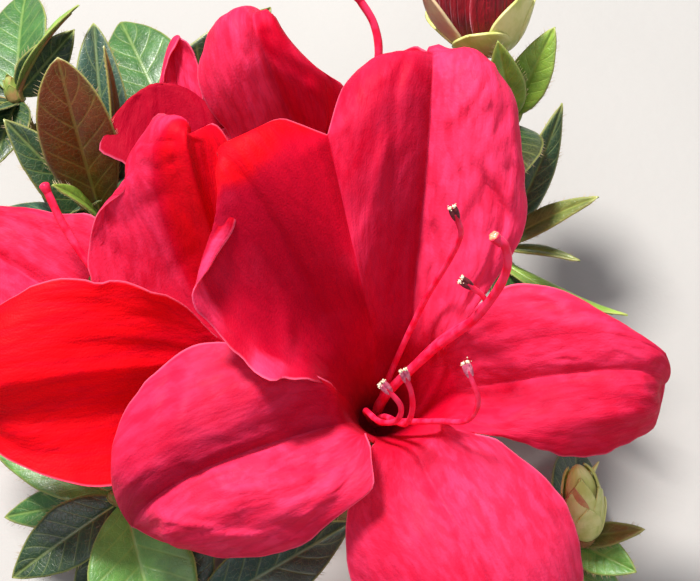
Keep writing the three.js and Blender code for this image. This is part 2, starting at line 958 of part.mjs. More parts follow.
shoot(
  "stem_left",
  [
    [-41, -80, 3.6],
    [-50, -72, -1],
    [-57, -64, -5],
  ],
  [
    [-59, -61, -6],
    [-60.5, -58, -7],
  ],
  [
    ...whorl([-60.4, -58.4, -7], [-0.4, 0.8, 0.3], 31, [
      [20, 70, 20],
      [90, 65, 22],
      [160, 75, 24],
      [230, 80, 20],
      [300, 80, 18],
    ]),
  ],
);
shoot(
  "stem_right",
  [
    [-24, -52, -14],
    [-13, -53, -13.4],
    [-4, -54, -11],
  ],
  [
    [-1, -54.4, -10],
    [2, -54.6, -9],
  ],
  [
    ...whorl([1.6, -54.6, -9], [0.9, 0, 0.3], 37, [
      [0, 70, 22],
      [75, 70, 20],
      [140, 75, 22],
      [215, 80, 24],
      [290, 75, 20],
    ]),
  ],
);

const branch = new THREE.Group();
branch.add(...made);

export default branch;
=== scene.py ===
# The looks of a cut flowering branch of a red garden azalea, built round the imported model.
# Sizes are in millimetres, and a mesh is scaled to metres when it is made. Blooms and leaves are
# placed in a tilted view frame, as in the model: right, up (away from the viewer) and out
# (towards the viewer), about the mouth of the front bloom.
from functools import partialmethod
from types import SimpleNamespace

import bpy
import numpy as np
from mathutils import Matrix
from numpy import arange, array, clip, concatenate, cos, cross, exp, interp, linspace, maximum
from numpy import minimum, pi, radians, sin, stack, where
from numpy.linalg import norm


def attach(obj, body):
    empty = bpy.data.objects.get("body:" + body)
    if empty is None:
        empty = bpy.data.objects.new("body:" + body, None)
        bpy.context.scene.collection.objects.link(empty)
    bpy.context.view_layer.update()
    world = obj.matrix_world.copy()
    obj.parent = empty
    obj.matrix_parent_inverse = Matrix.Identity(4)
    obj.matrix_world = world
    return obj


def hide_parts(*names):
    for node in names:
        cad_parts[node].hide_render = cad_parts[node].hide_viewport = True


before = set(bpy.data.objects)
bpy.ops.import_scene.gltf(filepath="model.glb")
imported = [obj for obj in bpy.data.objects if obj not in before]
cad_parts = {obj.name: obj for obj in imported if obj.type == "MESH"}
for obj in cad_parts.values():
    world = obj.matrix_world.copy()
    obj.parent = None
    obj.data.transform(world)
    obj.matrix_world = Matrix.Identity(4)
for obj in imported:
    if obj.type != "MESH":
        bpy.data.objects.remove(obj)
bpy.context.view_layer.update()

# The view frame

LOOK_DOWN = radians(58)
RIGHT = array([1, 0, 0])
UP = array([0, sin(LOOK_DOWN), cos(LOOK_DOWN)])
OUT = array([0, -cos(LOOK_DOWN), sin(LOOK_DOWN)])
MOUTH = array([23.8, 16, 42])
GROUND_GAP = 0.3
SOFT_LANDING = 3


def toward(way):
    """A direction of the view frame, or several, in the part's own frame."""
    return array(way, float) @ stack([RIGHT, UP, OUT])


def at(place):
    return toward(place) + MOUTH


def unit(v):
    return v / maximum(norm(v, axis=-1, keepdims=True), 1e-12)


def smooth(x):
    c = clip(x, 0, 1)
    return c * c * (3 - 2 * c)


def mix(a, b, share):
    return a + (b - a) * share


def noise(x, y, seed):
    """Smooth noise from -1 to 1 over a plane, the same on each run."""
    table = np.random.default_rng(seed).uniform(-1, 1, (64, 64))
    i, j = np.floor(x).astype(int), np.floor(y).astype(int)

    def row(k):
        return mix(table[i % 64, k % 64], table[(i + 1) % 64, k % 64], smooth(x - i))

    return mix(row(j), row(j + 1), smooth(y - j))


def landed(points):
    """Eases points near the ground to lie just above it."""
    z, room = points[:, 2], SOFT_LANDING - GROUND_GAP
    eased = GROUND_GAP + room * exp(-maximum((SOFT_LANDING - z) / room, 0))
    points[:, 2] = where(z < SOFT_LANDING, eased, z)
    return points


def grid(rows, cols):
    """Two rows of numbers as all their pairs."""
    return (x.ravel() for x in np.meshgrid(rows, cols, indexing="ij"))


def grid_quads(rows, cols):
    """The faces of a grid of rows + 1 by cols + 1 points, counted row by row."""
    first = (arange(rows)[:, None] * (cols + 1) + arange(cols)).ravel()
    return stack([first, first + 1, first + cols + 2, first + cols + 1], -1)


def coords(x, y, z=0):
    """Three coordinates in one array. Each is one number, or one for each point."""
    return stack(np.broadcast_arrays(x, y, z), -1)


def across(way, start=RIGHT):
    """Two directions across a way, the first of them nearest to the start."""
    e1 = unit(start - way * (start @ way))
    return e1, cross(way, e1)


def turned(pair, angle):
    """A direction at an angle, or several, in the plane of a pair of them."""
    return pair[0] * cos(angle)[..., None] + pair[1] * sin(angle)[..., None]


# Meshes


def shared_normals(points, quads, digits):
    """Normals at the points, shared where points meet, and a number for each place."""
    weld = np.unique(np.round(points, digits), axis=0, return_inverse=True)[1].reshape(-1)
    corners = points[quads]
    facing = cross(corners[:, 2] - corners[:, 0], corners[:, 3] - corners[:, 1])
    normal = np.zeros((weld.max() + 1, 3))
    for corner in range(4):
        np.add.at(normal, weld[quads[:, corner]], facing)
    return unit(normal)[weld], weld


def linked(name, data):
    made = bpy.data.objects.new(name, data)
    bpy.context.scene.collection.objects.link(made)
    return made


class Shape:
    """Points, faces and point values that become one mesh."""

    def __init__(self):
        self.points = []
        self.faces = []
        self.looks = []
        self.values = {}
        self.count = 0

    def add(self, points, faces, look=0, **values):
        """Adds points and faces. Each value is one for all the points or one for each."""
        points = array(points, float).reshape(-1, 3)
        self.points.append(points)
        self.faces += (array(faces) + self.count).tolist()
        self.looks += [look] * len(faces)
        for name, value in values.items():
            size = (len(points), 3) if np.shape(value)[-1:] == (3,) else (len(points),)
            self.values.setdefault(name, []).append((self.count, np.broadcast_to(value, size)))
        self.count += len(points)

    def add_sheet(self, points, quads, thick, look, values, **more):
        """Adds a sheet made solid: its upper skin, its lower skin and its rim."""
        normal, weld = shared_normals(points, quads, 4)
        offset = normal * np.reshape(thick, (-1, 1)) / 2
        count = len(points)
        edges = concatenate([quads[:, [k, (k + 1) % 4]] for k in range(4)])
        a, b = weld[edges].T
        rim = edges[~np.isin(a * count + b, b * count + a)]
        side = stack([rim[:, 1], rim[:, 0], rim[:, 0] + count, rim[:, 1] + count], -1)
        faces = concatenate([quads, quads[:, ::-1] + count, side])
        both = {key: concatenate([value, value]) for key, value in values.items()}
        self.add(concatenate([points + offset, points - offset]), faces, look, **both, **more)

    def piece(self, name, slot, materials, *nodes, welded=False):
        """The mesh as a piece of the branch, standing for CAD nodes."""
        points = concatenate(self.points)
        mesh = bpy.data.meshes.new(name)
        mesh.from_pydata((points / 1000).tolist(), [], self.faces)
        for key, parts in self.values.items():
            wide = parts[0][1].ndim == 2
            whole = np.zeros((self.count, 3) if wide else self.count, np.float32)
            for start, part in parts:
                whole[start : start + len(part)] = part
            kind, field = ("FLOAT_VECTOR", "vector") if wide else ("FLOAT", "value")
            mesh.attributes.new(key, kind, "POINT").data.foreach_set(field, whole.ravel())
        for material in materials:
            mesh.materials.append(material)
        mesh.polygons.foreach_set("material_index", self.looks)
        mesh.polygons.foreach_set("use_smooth", [True] * len(self.faces))
        mesh.update()
        if welded:
            normals = shared_normals(points, array(self.faces), 3)[0]
            mesh.normals_split_custom_set_from_vertices(normals.tolist())
        piece = linked(name, mesh)
        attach(piece, "root")
        if nodes:
            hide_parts(*nodes)


def lengths(line):
    """How far along a line each of its points lies."""
    return concatenate([[0], np.cumsum(norm(np.diff(line, axis=0), axis=1))])


def sampled(line, marks, wanted):
    return stack([interp(wanted, marks, line[:, k]) for k in range(3)], -1)


def spline(route, steps):
    """Points at equal steps along a centripetal Catmull-Rom line through the route."""
    p = array(route, float)
    p = concatenate([[2 * p[0] - p[1]], p, [2 * p[-1] - p[-2]]])
    fine = []
    u = linspace(0, 1, 60, endpoint=False)[:, None]
    for a, b, c, d in zip(p, p[1:], p[2:], p[3:]):
        d0, d1, d2 = (max(1e-4, norm(gap) ** 0.5) for gap in (b - a, c - b, d - c))
        leave = ((b - a) / d0 - (c - a) / (d0 + d1) + (c - b) / d1) * d1
        reach = ((c - b) / d1 - (d - b) / (d1 + d2) + (d - c) / d2) * d1
        bend, twist = 3 * (c - b) - 2 * leave - reach, leave + reach - 2 * (c - b)
        fine.append(b + leave * u + bend * u**2 + twist * u**3)
    fine = concatenate([*fine, [p[-2]]])
    run = lengths(fine)
    return sampled(fine, run, linspace(0, run[-1], steps + 1))


def frames(line):
    """The direction of a line at each point, and two directions across it that don't spin."""
    way = unit(np.gradient(line, axis=0))
    side = np.zeros_like(way)
    start = RIGHT if abs(way[0] @ RIGHT) < 0.9 else UP
    for i, w in enumerate(way):
        side[i] = start = across(w, start)[0]
    return way, side, cross(way, side)


def tube(shape, line, radius, sides, look=0, seed=0):
    """A round limb along a line. The radius is one, one a step, or one a step and a side."""
    rows = len(line)
    e1, e2 = frames(line)[1:]
    angle = linspace(0, 2 * pi, sides + 1)
    radius = np.broadcast_to(radius[:, None] if np.ndim(radius) == 1 else radius, (rows, sides + 1))
    points = line[:, None] + turned((e1[:, None], e2[:, None]), angle) * radius[..., None]
    run = lengths(line)
    spot = coords(radius * angle, run[:, None], seed * 7.3)
    shape.add(points, grid_quads(rows - 1, sides), look, spot=spot.reshape(-1, 3))
    ring = arange(sides)
    for row, hand in ((0, 1), (rows - 1, -1)):
        fan = stack([np.full(sides, sides + 1), ring, ring + 1], -1)[:, ::hand]
        shape.add([*points[row], line[row]], fan, look, spot=[0, run[row], seed * 7.3])


DOWN = Shape()


def hairs(roots, ways, length, width):
    """Three-sided hairs, each from its root along its way, all of them kept in one shape."""
    ways = unit(ways)
    side = unit(cross(ways, UP + 0.1 * RIGHT))
    ring = [roots + width * turned((side, cross(ways, side)), array([k * 2 * pi / 3])) for k in range(3)]
    points = stack([*ring, roots + ways * length[:, None]], 1).reshape(-1, 3)
    first = arange(len(roots))[:, None] * 4
    DOWN.add(landed(points), concatenate([first + c for c in ([0, 1, 3], [1, 2, 3], [2, 0, 3])]))


# Materials


def srgb(red, green, blue):
    """A colour given as its screen values from 0 to 255."""
    c = array([red, green, blue]) / 255
    linear = where(c <= 0.04045, c / 12.92, ((c + 0.055) / 1.055) ** 2.4)
    return (*linear.tolist(), 1)


class Graph:
    """A material's nodes, made and joined by short calls. Colours are screen values."""

    def __init__(self, name):
        self.material = bpy.data.materials.new(name)
        self.material.use_nodes = True
        self.tree = self.material.node_tree
        self.tree.nodes.clear()

    def node(self, kind, output, inputs, **settings):
        made = self.tree.nodes.new("ShaderNode" + kind)
        for key, value in settings.items():
            setattr(made, key, value)
        for key, value in inputs.items():
            if isinstance(value, bpy.types.NodeSocket):
                self.tree.links.new(value, made.inputs[key])
            else:
                made.inputs[key].default_value = value
        return made.outputs[output]

    def value(self, name, output="Fac"):
        return self.node("Attribute", output, {}, attribute_name=name)

    def vector(self, name):
        return self.value(name, "Vector")

    def split(self, vector, axis):
        return self.node("SeparateXYZ", axis, {"Vector": vector})

    def scaled(self, vector, *by):
        return self.node("VectorMath", "Vector", {0: vector, 1: by}, operation="MULTIPLY")

    def math(self, operation, a, b=0, clamp=False):
        return self.node("Math", 0, {0: a, 1: b}, operation=operation, use_clamp=clamp)

    plus = partialmethod(math, "ADD")
    minus = partialmethod(math, "SUBTRACT")
    times = partialmethod(math, "MULTIPLY")
    either = partialmethod(math, "MAXIMUM")
    absolute = partialmethod(math, "ABSOLUTE")
    zigzag = partialmethod(math, "PINGPONG", b=0.5)

    def ease(self, value, low, high, start=0, end=1):
        """The value's place from low to high, eased, as a number from start to end."""
        inputs = {"Value": value, "From Min": low, "From Max": high, "To Min": start, "To Max": end}
        return self.node("MapRange", "Result", inputs, interpolation_type="SMOOTHSTEP")

    def noise(self, vector, scale, detail=3, distortion=0):
        inputs = {"Vector": vector, "Scale": scale, "Detail": detail, "Distortion": distortion}
        return self.node("TexNoise", "Fac", inputs)

    def cracks(self, vector, scale):
        """How far a point is from the borders of a net of cells."""
        inputs = {"Vector": vector, "Scale": scale}
        return self.node("TexVoronoi", "Distance", inputs, feature="DISTANCE_TO_EDGE")

    def tint(self, a, b, factor):
        a, b = (srgb(*color) if isinstance(color, tuple) else color for color in (a, b))
        return self.node("Mix", 2, {0: factor, 6: a, 7: b}, data_type="RGBA")

    def layers(self, color, *layers):
        for layer, factor in layers:
            color = self.tint(color, layer, factor)
        return color

    def bump(self, height, distance, strength=1):
        inputs = {"Height": height, "Distance": distance, "Strength": strength}
        return self.node("Bump", "Normal", inputs)

    def finish(self, color, roughness, normal, gloss, glow=None, share=0, **settings):
        """The surface. A glow is the colour of the light that comes through it."""
        inputs = {"Base Color": color, "Roughness": roughness, "Normal": normal}
        inputs["Specular IOR Level"] = gloss
        for key, value in settings.items():
            inputs[key.replace("_", " ").title()] = value
        surface = self.node("BsdfPrincipled", "BSDF", inputs)
        if glow:
            glow = srgb(*glow) if isinstance(glow, tuple) else glow
            through = self.node("BsdfTranslucent", "BSDF", {"Color": glow, "Normal": normal})
            surface = self.node("MixShader", "Shader", {0: share, 1: surface, 2: through})
        out = self.tree.nodes.new("ShaderNodeOutputMaterial")
        self.tree.links.new(surface, out.inputs["Surface"])
        return self.material


def petal_material():
    """Thin crimson petal: faint veins that fan out from the foot, soft streaks, painted light and painted
    shade, and a pale painted rim highlight along the thin margins.
    """
    g = Graph("petal")
    lobe, spot, deep, own = g.vector("lobe"), g.vector("spot"), g.value("deep"), g.value("pink")
    wobble = g.noise(g.scaled(spot, 0.12, 0.1, 1), 1)
    vein = 0
    for count, start in ((4, 0), (9, 0.3), (19, 0.6)):
        line = g.plus(g.times(g.split(lobe, "X"), count), g.times(wobble, 2.4))
        near = g.ease(g.zigzag(line), 0, 0.12 + count * 0.008, 1, 0)
        vein = g.either(vein, g.times(near, g.ease(g.split(lobe, "Y"), start, start + 0.2)))
    streak = g.noise(g.scaled(spot, 1, 0.16, 1), 0.8, 4, 0.4)
    # Painted light in flecks: the lit pink is mottled as if the crumples catch the light.
    painted_light_flecks = g.ease(g.noise(g.scaled(spot, 1, 0.55, 1), 0.85, 6), 0.42, 0.6, -0.26, 0.2)
    # Painted light: above 0 the petal is painted a lit pink, below 0 the purer red of light shining
    # through; the value varies a little at random.
    pink = g.plus(own, g.times(g.minus(g.noise(spot, 0.16, 4), 0.5), 0.9))
    color = g.layers(
        g.tint((206, 2, 48), (246, 62, 112), g.plus(pink, g.times(painted_light_flecks, own), True)),
        ((236, 0, 16), g.times(own, -1, True)),
        ((176, 0, 40), g.times(vein, 0.08)),
        ((190, 0, 44), g.ease(streak, 0.42, 0.7, 0, 0.34)),
        # Painted shade: darker down the throat and where a lobe lies in shadow.
        ((156, 0, 40), deep),
        # Painted rim highlight: a pale line along the thin margins.
        ((255, 120, 160), g.ease(g.value("margin"), 0, 0.3, 0.6, 0)),
    )
    crease = g.noise(g.scaled(spot, 1, 0.4, 1), 0.9)
    height = g.plus(g.times(crease, 0.8), g.times(g.noise(spot, 4), 0.25))
    normal = g.bump(g.minus(height, g.times(vein, 0.05)), 0.0003, 0.8)
    # The light that comes through is darkened by the same painted shade.
    glow = g.layers((255, 0, 24), ((214, 0, 12), g.times(vein, 0.5)), ((150, 0, 16), deep))
    return g.finish(color, g.ease(crease, 0.3, 0.7, 0.56, 0.7), normal, 0.12, glow, 0.4,
                    sheen_weight=0.04, sheen_roughness=0.4, sheen_tint=(1, 0.35, 0.6, 1))


def soft(name, color, other, scale, rough, bump, gloss=0.4, glow=None, share=0.3):
    """A soft plant surface in two shades with fine relief."""
    g = Graph(name)
    spot = g.vector("spot")
    shade = g.tint(color, other, g.ease(g.noise(spot, scale, 4), 0.35, 0.65))
    fine = g.noise(g.scaled(spot, 1, 0.3, 1), scale * 5)
    roughness = g.ease(fine, 0.3, 0.7, rough - 0.08, rough + 0.08)
    return g.finish(shade, roughness, g.bump(fine, bump), gloss, glow, share)


def leaf_material():
    """A waxy leaf: pale ribs, darker cells between them, a paler underside, a coloured rim."""
    g = Graph("leaf")
    lobe, spot, tone = g.vector("lobe"), g.vector("spot"), g.vector("tone")
    out = g.absolute(g.split(lobe, "X"))
    line = g.times(g.minus(g.split(lobe, "Y"), g.times(out, 0.2)), 8)
    side = g.times(g.ease(g.zigzag(line), 0, 0.12, 0.8, 0), g.ease(out, 0.75, 1, 1, 0))
    rib = g.ease(g.absolute(g.split(spot, "X")), 0.12, 0.4, 1, 0)
    vein = g.either(g.either(side, rib), g.ease(g.cracks(spot, 1.3), 0, 0.08, 0.4, 0))
    blush = g.times(g.value("blush"), g.ease(g.noise(spot, 0.2), 0.25, 0.6))
    color = g.layers(
        g.scaled(tone, 0.55, 0.6, 0.6),
        (tone, g.ease(g.noise(spot, 0.35, 4), 0.3, 0.7)),
        (g.tint(tone, (168, 182, 92), 0.55), g.times(vein, 0.35)),
        ((112, 36, 12), blush),
        ((150, 152, 80), g.ease(g.value("margin"), 0, 0.35, 0.7, 0)),
        (g.tint(tone, (150, 168, 110), 0.6), g.times(g.value("under"), 0.8)),
    )
    cells = g.noise(spot, 3.5)
    normal = g.bump(g.minus(g.times(cells, 0.5), g.times(vein, 0.5)), 0.00012, 0.8)
    rough = g.ease(cells, 0.3, 0.7, 0.34, 0.52)
    return g.finish(color, rough, normal, 0.5, coat_weight=0.12, coat_roughness=0.3)


def bark_material(name, color, other, crack):
    """Bark with lengthwise ridges, fine cracks and pale breathing spots."""
    g = Graph(name)
    spot = g.vector("spot")
    ridge = g.noise(g.scaled(spot, 1, 0.22, 1), 1.6, 5, 0.6)
    dots = g.ease(g.cracks(g.scaled(spot, 0.7, 1.2, 1), 0.5), 0.32, 0.4)
    shade = g.layers(
        color,
        (other, g.ease(ridge, 0.35, 0.65)),
        (crack, g.ease(ridge, 0.42, 0.3, 0, 0.8)),
        ((176, 152, 118), g.times(dots, 0.5)),
    )
    normal = g.bump(g.plus(ridge, g.times(g.noise(spot, 5, 4), 0.3)), 0.0004)
    return g.finish(shade, g.ease(ridge, 0.3, 0.7, 0.72, 0.92), normal, 0.25)


def cut_material():
    """The cut end: pale wood with rings about a dark pith, and a green line under the bark."""
    g = Graph("cut_wood")
    spot, out = g.vector("spot"), g.value("share")
    rings = g.zigzag(g.plus(g.times(out, 5), g.noise(spot, 0.8)))
    shade = g.layers(
        (214, 190, 142),
        ((176, 142, 96), g.ease(rings, 0.1, 0.5)),
        ((96, 70, 44), g.ease(out, 0.16, 0.06)),
        ((112, 132, 62), g.ease(out, 0.84, 0.9)),
        ((92, 66, 48), g.ease(out, 0.92, 0.97)),
    )
    return g.finish(shade, g.ease(rings, 0, 0.5, 0.6, 0.75), g.bump(g.noise(spot, 6), 0.0001), 0.5)


def bud_material():
    """Furled crimson petals, pale where they are folded thin."""
    g = Graph("bud_petal")
    lobe, spot = g.vector("lobe"), g.vector("spot")
    vein = g.ease(g.zigzag(g.times(g.split(lobe, "X"), 6)), 0, 0.14, 1, 0)
    shade = g.layers(
        (150, 6, 26),
        ((104, 2, 20), g.ease(g.noise(spot, 0.3, 4), 0.35, 0.65)),
        ((86, 0, 16), g.times(vein, 0.5)),
        ((196, 60, 76), g.ease(g.value("margin"), 0, 0.5, 0.7, 0)),
    )
    height = g.minus(g.noise(g.scaled(spot, 1, 0.3, 1), 2), g.times(vein, 0.3))
    return g.finish(shade, g.ease(height, 0.2, 0.7, 0.38, 0.55), g.bump(height, 0.0003), 0.4,
                    (190, 4, 20), 0.25, sheen_weight=0.3, sheen_tint=(1, 0.5, 0.6, 1))


PETAL = petal_material()
LEAF = leaf_material()
CUT = cut_material()
BUD_PETAL = bud_material()
TWIG = bark_material("twig", (118, 96, 62), (92, 74, 46), (66, 50, 34))
BARK = bark_material("bark", (122, 98, 78), (88, 68, 52), (46, 34, 26))
FILAMENT = soft("filament", (246, 20, 66), (250, 62, 112), 0.5, 0.4, 0.00006, 0.3, (255, 20, 50))
ANTHER = soft("anther", (74, 16, 28), (112, 34, 42), 2, 0.5, 0.0001, 0.45)
PALE_ANTHER = soft("pale_anther", (222, 130, 150), (186, 70, 104), 1.4, 0.45, 0.0001, 0.45)
POLLEN = soft("pollen", (238, 226, 200), (214, 190, 156), 3, 0.8, 0.00005, 0.2)
STIGMA = soft("stigma", (236, 148, 112), (214, 96, 84), 1.2, 0.22, 0.00006, 0.6)
STALK = soft("stalk", (128, 138, 66), (150, 104, 68), 0.25, 0.5, 0.0001, 0.35)
SEPAL = soft("sepal", (120, 140, 64), (150, 116, 70), 0.5, 0.5, 0.0001, 0.35)
# The pale scales are coloured lighter than their own cream: painted light for a bud that sits in shadow
# under the front bloom.
BUD_SCALE = soft("bud_scale", (228, 222, 152), (196, 200, 112), 0.4, 0.42, 0.0001, 0.4, (210, 220, 90), 0.2)
BRACT = soft("bract", (196, 184, 138), (188, 132, 118), 0.22, 0.5, 0.0001, 0.35)
BLUSHED = soft("blushed_scale", (186, 150, 92), (178, 78, 72), 0.35, 0.45, 0.0001)
HAIR = soft("hair", (196, 178, 140), (160, 132, 96), 1, 0.6, 0.00002, 0.3)

# Blooms

LOBES = 5
SECTOR = pi / LOBES
TUBE_FOOT_RADIUS = 2.4
TUBE_FLARE = 1.5
FOOT_CLOSED = 0.08
LOBE_START = 0.26
LOBE_FREE = 0.5
ROOT_LEVEL = 0.58
CREST = 0.72
PETAL_THICK = 0.3
PALE_ANTHERS = (2, 3, 4)


def funnel(bloom, level, angle):
    """The tube of a bloom: level 0 is its foot and 1 its mouth."""
    foot, mouth = at(bloom.foot), at(bloom.mouth)
    level, angle = (np.ravel(x) for x in np.broadcast_arrays(level, angle))
    level = level[:, None]
    radius = mix(TUBE_FOOT_RADIUS, bloom.mouth_radius, level**TUBE_FLARE)
    radius = radius * mix(0.08, 1, smooth(level / FOOT_CLOSED))
    return mix(foot, mouth, level) + radius * turned(across(unit(mouth - foot)), angle)


def lobe_width(v, foot_share, widest, blunt):
    """How wide a lobe is along its free length, as a share of its widest."""
    low = mix(foot_share, 1, sin(pi / 2 * v / widest))
    past = clip((v - widest) / (1 - widest), 0, 1)
    return where(v < widest, low, maximum(0.02, (1 - past**2.4) ** (1 / blunt)))


def follow(route, share):
    """Points at shares of the way along a smooth line through the route."""
    return sampled(spline(route, 200), arange(201), clip(share, 0, 1) * 200)


def margin_line(root, lobe, points, seam, v):
    """Where a lobe's margin runs on one side: along the seam with its neighbour, then free."""
    if not seam:
        return follow([root, *at([*points, lobe.tip])], v)
    end, fused = seam
    joined = follow([root, *at(fused)], v / end)
    free = follow(at([fused[-1], *points, lobe.tip]), (v - end) / (1 - end))
    return where((v <= end)[:, None], joined, free)


def ridges(x, y, seed):
    """The sharp, slanting creases of a crumpled petal, from about -0.7 to 1.4."""
    drift = 0.8 * noise(x / 5 + 3, y / 6 + 3, seed + 9)
    broad = noise((x * 0.9 - y * 0.6) / 2.8 + 40 + drift, (y * 0.9 + x * 0.5) / 5 + 9, seed)
    fine = noise((x * 0.8 - y * 0.2) / 1.7 + 30, (y + x * 0.3) / 2.8 + 9 + drift, seed + 1)
    return 0.9 * exp(-abs(broad) / 0.22) + 0.5 * exp(-abs(fine) / 0.25) + 0.5 * broad - 0.4


def closeness(places, route, width):
    """From 1 on a line of the view's plane to 0 away from it, and fading towards its two ends."""
    line = spline([[*point, 0] for point in route], 30)[:, :2]
    gap = norm(places[:, None] - line[None], axis=2)
    fade = sin(pi * (gap.argmin(axis=1) + 1) / (len(line) + 1))
    return exp(-((gap.min(axis=1) / width) ** 2)) * fade


def lobe_sheet(bloom, lobe, rows, cols):
    """One lobe, from the foot of the tube to its tip: its points, their values and its faces."""
    steps = concatenate([
        linspace(0, LOBE_START, max(4, rows // 6), endpoint=False),
        linspace(LOBE_START, 0.9, rows * 5 // 8, endpoint=False),
        1 - 0.1 * (1 - linspace(0, 1, rows // 5)) ** 2,
    ])
    s, t = grid(steps, linspace(-1, 1, cols + 1))
    seed, angle, tip = lobe.angle + 1, radians(lobe.angle), at(lobe.tip)
    root, higher = (funnel(bloom, level, angle)[0] for level in (ROOT_LEVEL, ROOT_LEVEL + 0.05))
    inward = unit(mix(at(bloom.foot), at(bloom.mouth), ROOT_LEVEL) - root)
    reach = norm(root - tip)
    leave = root + unit(higher - root) * 0.2 * reach
    arrive = (8 * at(lobe.belly) - root - 3 * leave - tip) / 3
    length = reach * 1.05

    v = maximum((s - LOBE_START) / (1 - LOBE_START), 0)
    w = v[:, None]
    middle = root * (1 - w) ** 3 + 3 * leave * w * (1 - w) ** 2 + 3 * arrive * w**2 * (1 - w) + tip * w**3
    along = unit((leave - root) * (1 - w) ** 2 + 2 * (arrive - leave) * w * (1 - w) + (tip - arrive) * w**2)
    facing = unit(mix(inward, unit(toward(lobe.face)), smooth(w / 0.5)))
    side = unit(cross(along, facing))
    normal = cross(side, along)
    foot_share = bloom.mouth_radius * 0.5 / lobe.halves[1]
    crumpled = smooth((v - 0.15) / 0.3)

    def surface(t, frilled):
        """The sheet at the same v, with or without the small frills of its margin."""
        a, low, hand = abs(t), t < 0, np.sign(t) * 3 + 9
        wave = sin(2 * pi * (lobe.waves * v + lobe.phase + where(low, 0.37, 0)))
        width = where(low, *lobe.halves) * lobe_width(v, foot_share, lobe.widest, lobe.blunt)
        frill = (noise(v * 13 + 5, hand, seed) + 0.6 * noise(v * 31, hand, seed + 1)) * frilled
        wide = width * (1 + lobe.scallop * wave * t**2) + 0.25 * frill * a**6
        folds = 0.34 * noise(t * 5 + 20, v * 3, seed + 2) + 0.15 * noise(t * 11 + 20, v * 6, seed + 3)
        wrinkles = where(low, *lobe.wrinkle) * ridges(t * width, v * length, seed + 4) * crumpled
        height = (
            width * (lobe.fold * sin(pi * CREST * a) + lobe.cup * t**2)
            + where(low, *lobe.lift) * t**2 * sin(pi * minimum(1, v / 0.7))
            + lobe.ruffle * a**3 * wave * smooth(v / 0.4)
            + (where(low, *lobe.crumple) * folds + wrinkles)
            * smooth(v / 0.25) * smooth(a / 0.12) * smooth((1 - a) / 0.12)
            + 0.3 * frill * a**5
            - lobe.groove * exp(-((t * width / 0.7) ** 2)) * smooth(v / 0.2)
        ) * smooth((1 - v) / 0.22)
        return middle + side * (wide * t)[:, None] + normal * height[:, None], width

    a, span, pull = abs(t), surface(t, 0)[1], 0
    frilled, seamed = smooth(v / 0.3), v < 0
    for hand, points, seam in lobe.sides:
        if points:
            here = t * hand > 0
            foot = funnel(bloom, ROOT_LEVEL, angle - hand * SECTOR)[0]
            line = margin_line(foot, lobe, points, seam, v)
            pull = pull + (here * a**2)[:, None] * (line - surface(t * 0 + hand, 0)[0])
            span = where(here, norm(line - middle, axis=1), span)
        if seam:
            frilled = where(here, smooth((v - seam[0]) / 0.08), frilled)
            seamed = seamed | here & (v < seam[0])
    free = surface(t, frilled)[0] + pull
    flat = stack([(free - MOUTH) @ RIGHT, (free - MOUTH) @ UP], -1)
    for route, rise, wide in lobe.creases:
        free = free + normal * (rise * closeness(flat, route, wide))[:, None]
    # Where the margin curls over it gets a painted highlight of pale pink, and no painted shade.
    painted_curl_highlight = 0 * t
    for rise, place, over in lobe.curls:
        near = exp(-(((v - place) / over) ** 2))
        free = free + (normal + side * 0.5) * (rise * smooth((-t - 0.7) / 0.3) * near)[:, None]
        painted_curl_highlight = maximum(painted_curl_highlight, smooth(smooth((-t - 0.8) / 0.1) * near * 2))
    tube_part = funnel(bloom, s / LOBE_START * ROOT_LEVEL, angle - t * SECTOR)
    share = smooth((s - LOBE_START) / (LOBE_FREE - LOBE_START))[:, None]

    # Painted light on the halves: lit pink above 0 and backlit red below 0, changing over at the turn.
    pink = mix(*lobe.pink, smooth((t - lobe.turn) / 0.2 + 0.5)) * smooth(v / 0.35)
    # More painted light and shade along the crumpled ridges.
    painted_crease_light = where(t < 0, *lobe.wrinkle) * crumpled
    pink = pink + 0.35 * painted_crease_light * clip(ridges(t * span, v * length, seed + 4), -1, 0.5)
    margin = minimum((1 - a) * span, (1 - v) * length * 0.8)
    # The lobe's shade setting is painted shade across its halves; past its end the tip takes its own
    # painted light.
    *dark, until = lobe.shade
    past = smooth((v + 0.05 * noise(t * 3 + 9, v * 5, seed + 6) - until) / 0.07)
    dark = interp(t, [-1, -0.03, 0.03, 1], dark) * (1 - past) * (1 - painted_curl_highlight)
    # The values carry painted light and painted shade: darker down the tube and on shaded halves.
    return mix(tube_part, free, share), {
        "lobe": coords(t, v, seed),
        "spot": coords(t * maximum(span, 4), s * length * 1.5, seed * 3.7),
        "margin": where((v > 0.1) & ~seamed, margin, 9),
        "pink": mix(mix(pink, lobe.end_pink, past), 1.2, painted_curl_highlight),
        "deep": maximum(smooth((0.22 - s) / 0.18) * 0.7, dark),
    }, grid_quads(len(steps) - 1, cols)


def corolla(shape, bloom, cells):
    points, values, quads = zip(*(lobe_sheet(bloom, lobe, *cells) for lobe in bloom.lobes))
    whole = {key: concatenate([v[key] for v in values]) for key in values[0]}
    quads = concatenate([faces + i * len(points[0]) for i, faces in enumerate(quads)])
    thick = PETAL_THICK * mix(0.6, 1, smooth(whole["margin"] / 1.5))
    shape.add_sheet(concatenate(points), quads, thick, 0, whole)


def egg(shape, foot, tip, radius, around, along, look=0, seed=0, girth=None):
    """An egg-shaped body from one point to another."""
    way = unit(tip - foot)
    rise, turn = grid(linspace(0, pi, along + 1), linspace(0, 2 * pi, around + 1))
    height = -cos(rise)
    swell = radius * sin(rise) * (girth(height, turn) if girth else 1)
    pair = across(way, RIGHT if abs(way @ RIGHT) < 0.9 else UP)
    points = mix(foot, tip, (height[:, None] + 1) / 2) + turned(pair, turn) * swell[:, None]
    spot = coords(turn * radius, height * norm(tip - foot) / 2, seed * 5.1)
    shape.add(points, grid_quads(along, around), look, spot=spot)


